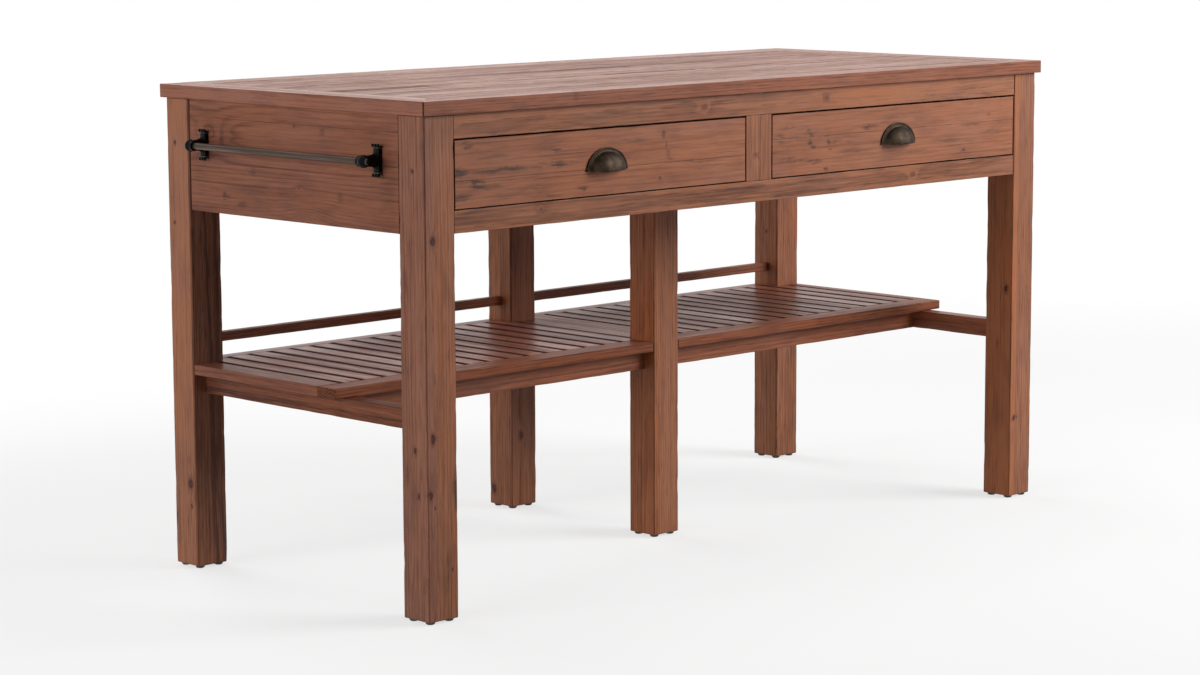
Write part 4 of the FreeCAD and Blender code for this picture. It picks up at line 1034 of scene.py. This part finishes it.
# Towel bar: a turned bar of bronzed steel held between the two brackets, with fine rings cut near its ends.
# A painted reflection lightens a line along its lower front, and a painted sheen another along its top.
BAR_BRONZE = (0.070, 0.050, 0.040, 1.0)
BAR_DULL = (0.052, 0.036, 0.029, 1.0)
BAR_SLIM = 0.0008
BAR_END_EASE = 0.0008
GROOVES = (0.016, 0.0195, 0.023)
GROOVE_HALF_WIDTH = 0.0006
GROOVE_DEPTH = 0.0008
LOW_REFLECTION_TURN = radians(-45)
LOW_REFLECTION_START = 0.4
SHEEN_TURN = radians(68)
SHEEN_START = 0.8
bar_bronze = metal("bar_bronze", BAR_BRONZE, BAR_DULL, 0.27, 0.12, (260, 9, 260))
radius = (bar_high.z - bar_low.z) / 2 - BAR_SLIM
profile = [(bar_low.y, 0.0), (bar_low.y, radius - BAR_END_EASE), (bar_low.y + BAR_END_EASE, radius)]
for inset in GROOVES:
    cut = bar_low.y + inset
    profile += [(cut - GROOVE_HALF_WIDTH, radius), (cut, radius - GROOVE_DEPTH),
                (cut + GROOVE_HALF_WIDTH, radius)]
profile += [(bar_low.y + bar_high.y - along, wide) for along, wide in reversed(profile)]
bm = bmesh.new()
points = [bmesh.ops.create_vert(bm, co=(bar_axis.x + wide, along, bar_axis.z))["vert"][0]
          for along, wide in profile]
edges = [bm.edges.new(pair) for pair in zip(points, points[1:])]
bmesh.ops.spin(bm, geom=points + edges, cent=bar_axis, axis=(0, 1, 0), angle=2 * pi, steps=48, use_merge=True)
bmesh.ops.remove_doubles(bm, verts=bm.verts, dist=1e-6)
# Vertices along the lower front and the top are lightened: painted reflection and painted sheen.
rubbed = bm.verts.layers.float.new("rubbed")
low_reflection_side = Vector((-cos(LOW_REFLECTION_TURN), 0.0, sin(LOW_REFLECTION_TURN)))
sheen_side = Vector((-cos(SHEEN_TURN), 0.0, sin(SHEEN_TURN)))
for vert in bm.verts:
    facing = Vector((vert.co.x - bar_axis.x, 0.0, vert.co.z - bar_axis.z)).normalized()
    low_reflection = (facing.dot(low_reflection_side) - LOW_REFLECTION_START) / (1.0 - LOW_REFLECTION_START)
    sheen = (facing.dot(sheen_side) - SHEEN_START) / (1.0 - SHEEN_START)
    vert[rubbed] = max(0.0, low_reflection, sheen)
make_crisp("towel_bar_rod", bm, bar_bronze, "frame", "black_iron", "towel_bar")

# Studio: a pale floor that fades to white away from the object and keeps its shadow, soft lights from the
# front right, the left, behind and above, and the camera where the photograph was taken.
FLOOR_PALE = (0.90, 0.90, 0.90, 1.0)
FLOOR_BOUNCE = (0.36, 0.36, 0.36, 1.0)
FLOOR_GLOW = 0.68
FLOOR_REACH = 60.0
FADE_OVAL = (0.75, 1.0, 0.0)
FADE_START = 1.3
FADE_END = 3.2
WHITE = (1.0, 1.0, 1.0, 1.0)
WORLD_LIGHT = 0.08
CAMERA_PLACE = (-4.34456, -4.38268, 1.27712)
CAMERA_LENS = 94.24
CAMERA_SENSOR = 36.0
CAMERA_SIGHT = 400.0
CAMERA_TURN = radians(44.378)
CAMERA_DIP = radians(8.199)
CAMERA_ROLL = radians(-0.2337)


def seen_rays(first):
    """1 for what the camera sees, straight, in gloss or through glass."""
    kinds = ("Camera", "Glossy", "Transmission")
    rays = [first.add("LightPath", {}, {}, "Is %s Ray" % kind) for kind in kinds]
    return sum(rays[1:], rays[0]).maths("MINIMUM", 1.0)


bm = bmesh.new()
bmesh.ops.create_grid(bm, x_segments=1, y_segments=1, size=FLOOR_REACH)
mesh = bpy.data.meshes.new("floor")
bm.to_mesh(mesh)
bm.free()
floor = bpy.data.objects.new("floor", mesh)
bpy.context.scene.collection.objects.link(floor)
material, first = new_finish("floor_paper")
away = first.add("TexCoord", {}, {}, 3).vector("MULTIPLY", FADE_OVAL).vector("LENGTH", output=1)
paper = first.add("BsdfDiffuse", {}, {"Color": FLOOR_PALE})
shade = first.add("BsdfDiffuse", {}, {"Color": FLOOR_BOUNCE})
paper = first.add("MixShader", {}, {0: first.add("LightPath", {}, {}, "Is Diffuse Ray"), 1: paper, 2: shade})
glow = first.add("Emission", {}, {"Color": WHITE, "Strength": 1.0})
whiter = away.step(FADE_START, FADE_END) * (1.0 - FLOOR_GLOW) + FLOOR_GLOW
mixed = first.add("MixShader", {}, {0: whiter * seen_rays(first), 1: paper, 2: glow})
first.add("OutputMaterial", {}, {"Surface": mixed})
mesh.materials.append(material)

world = bpy.data.worlds.new("studio")
bpy.context.scene.world = world
world.use_nodes = True
world.node_tree.nodes.clear()
first = Shade(world.node_tree)
strength = seen_rays(first) * (1.0 - WORLD_LIGHT) + WORLD_LIGHT
backdrop = first.add("Background", {}, {"Color": WHITE, "Strength": strength})
first.add("OutputWorld", {}, {"Surface": backdrop})

for name, place, target, width, height, power in (
        ("key_light", (3.0, -3.4, 2.6), (0.2, 0.0, 0.5), 2.8, 2.4, 226.0),
        ("left_light", (-7.6, 0.6, 1.8), (-0.2, 0.0, 0.4), 4.4, 3.2, 254.0),
        ("back_light", (0.2, 4.8, 2.2), (0.0, 0.1, 0.4), 3.0, 2.4, 150.0),
        ("top_light", (0.0, 0.2, 3.6), (0.0, 0.0, 0.9), 3.2, 2.0, 32.0)):
    lamp = bpy.data.lights.new(name, "AREA")
    lamp.shape = "RECTANGLE"
    lamp.size = width
    lamp.size_y = height
    lamp.energy = power
    light = bpy.data.objects.new(name, lamp)
    aim = (Vector(target) - Vector(place)).to_track_quat("-Z", "Y").to_matrix().to_4x4()
    light.matrix_world = Matrix.Translation(place) @ aim
    light.visible_glossy = name == "key_light"
    bpy.context.scene.collection.objects.link(light)

lens = bpy.data.cameras.new("camera")
lens.lens = CAMERA_LENS
lens.sensor_width = CAMERA_SENSOR
lens.clip_end = CAMERA_SIGHT
camera = bpy.data.objects.new("camera", lens)
bpy.context.scene.collection.objects.link(camera)
forward = Vector((sin(CAMERA_TURN) * cos(CAMERA_DIP), cos(CAMERA_TURN) * cos(CAMERA_DIP), -sin(CAMERA_DIP)))
level = Vector((cos(CAMERA_TURN), -sin(CAMERA_TURN), 0.0))
upright = level.cross(forward)
right = cos(CAMERA_ROLL) * level + sin(CAMERA_ROLL) * upright
up = -sin(CAMERA_ROLL) * level + cos(CAMERA_ROLL) * upright
camera.matrix_world = Matrix.Translation(CAMERA_PLACE) @ Matrix((right, up, -forward)).transposed().to_4x4()
bpy.context.scene.camera = camera
bpy.context.scene.view_settings.view_transform = "Standard"
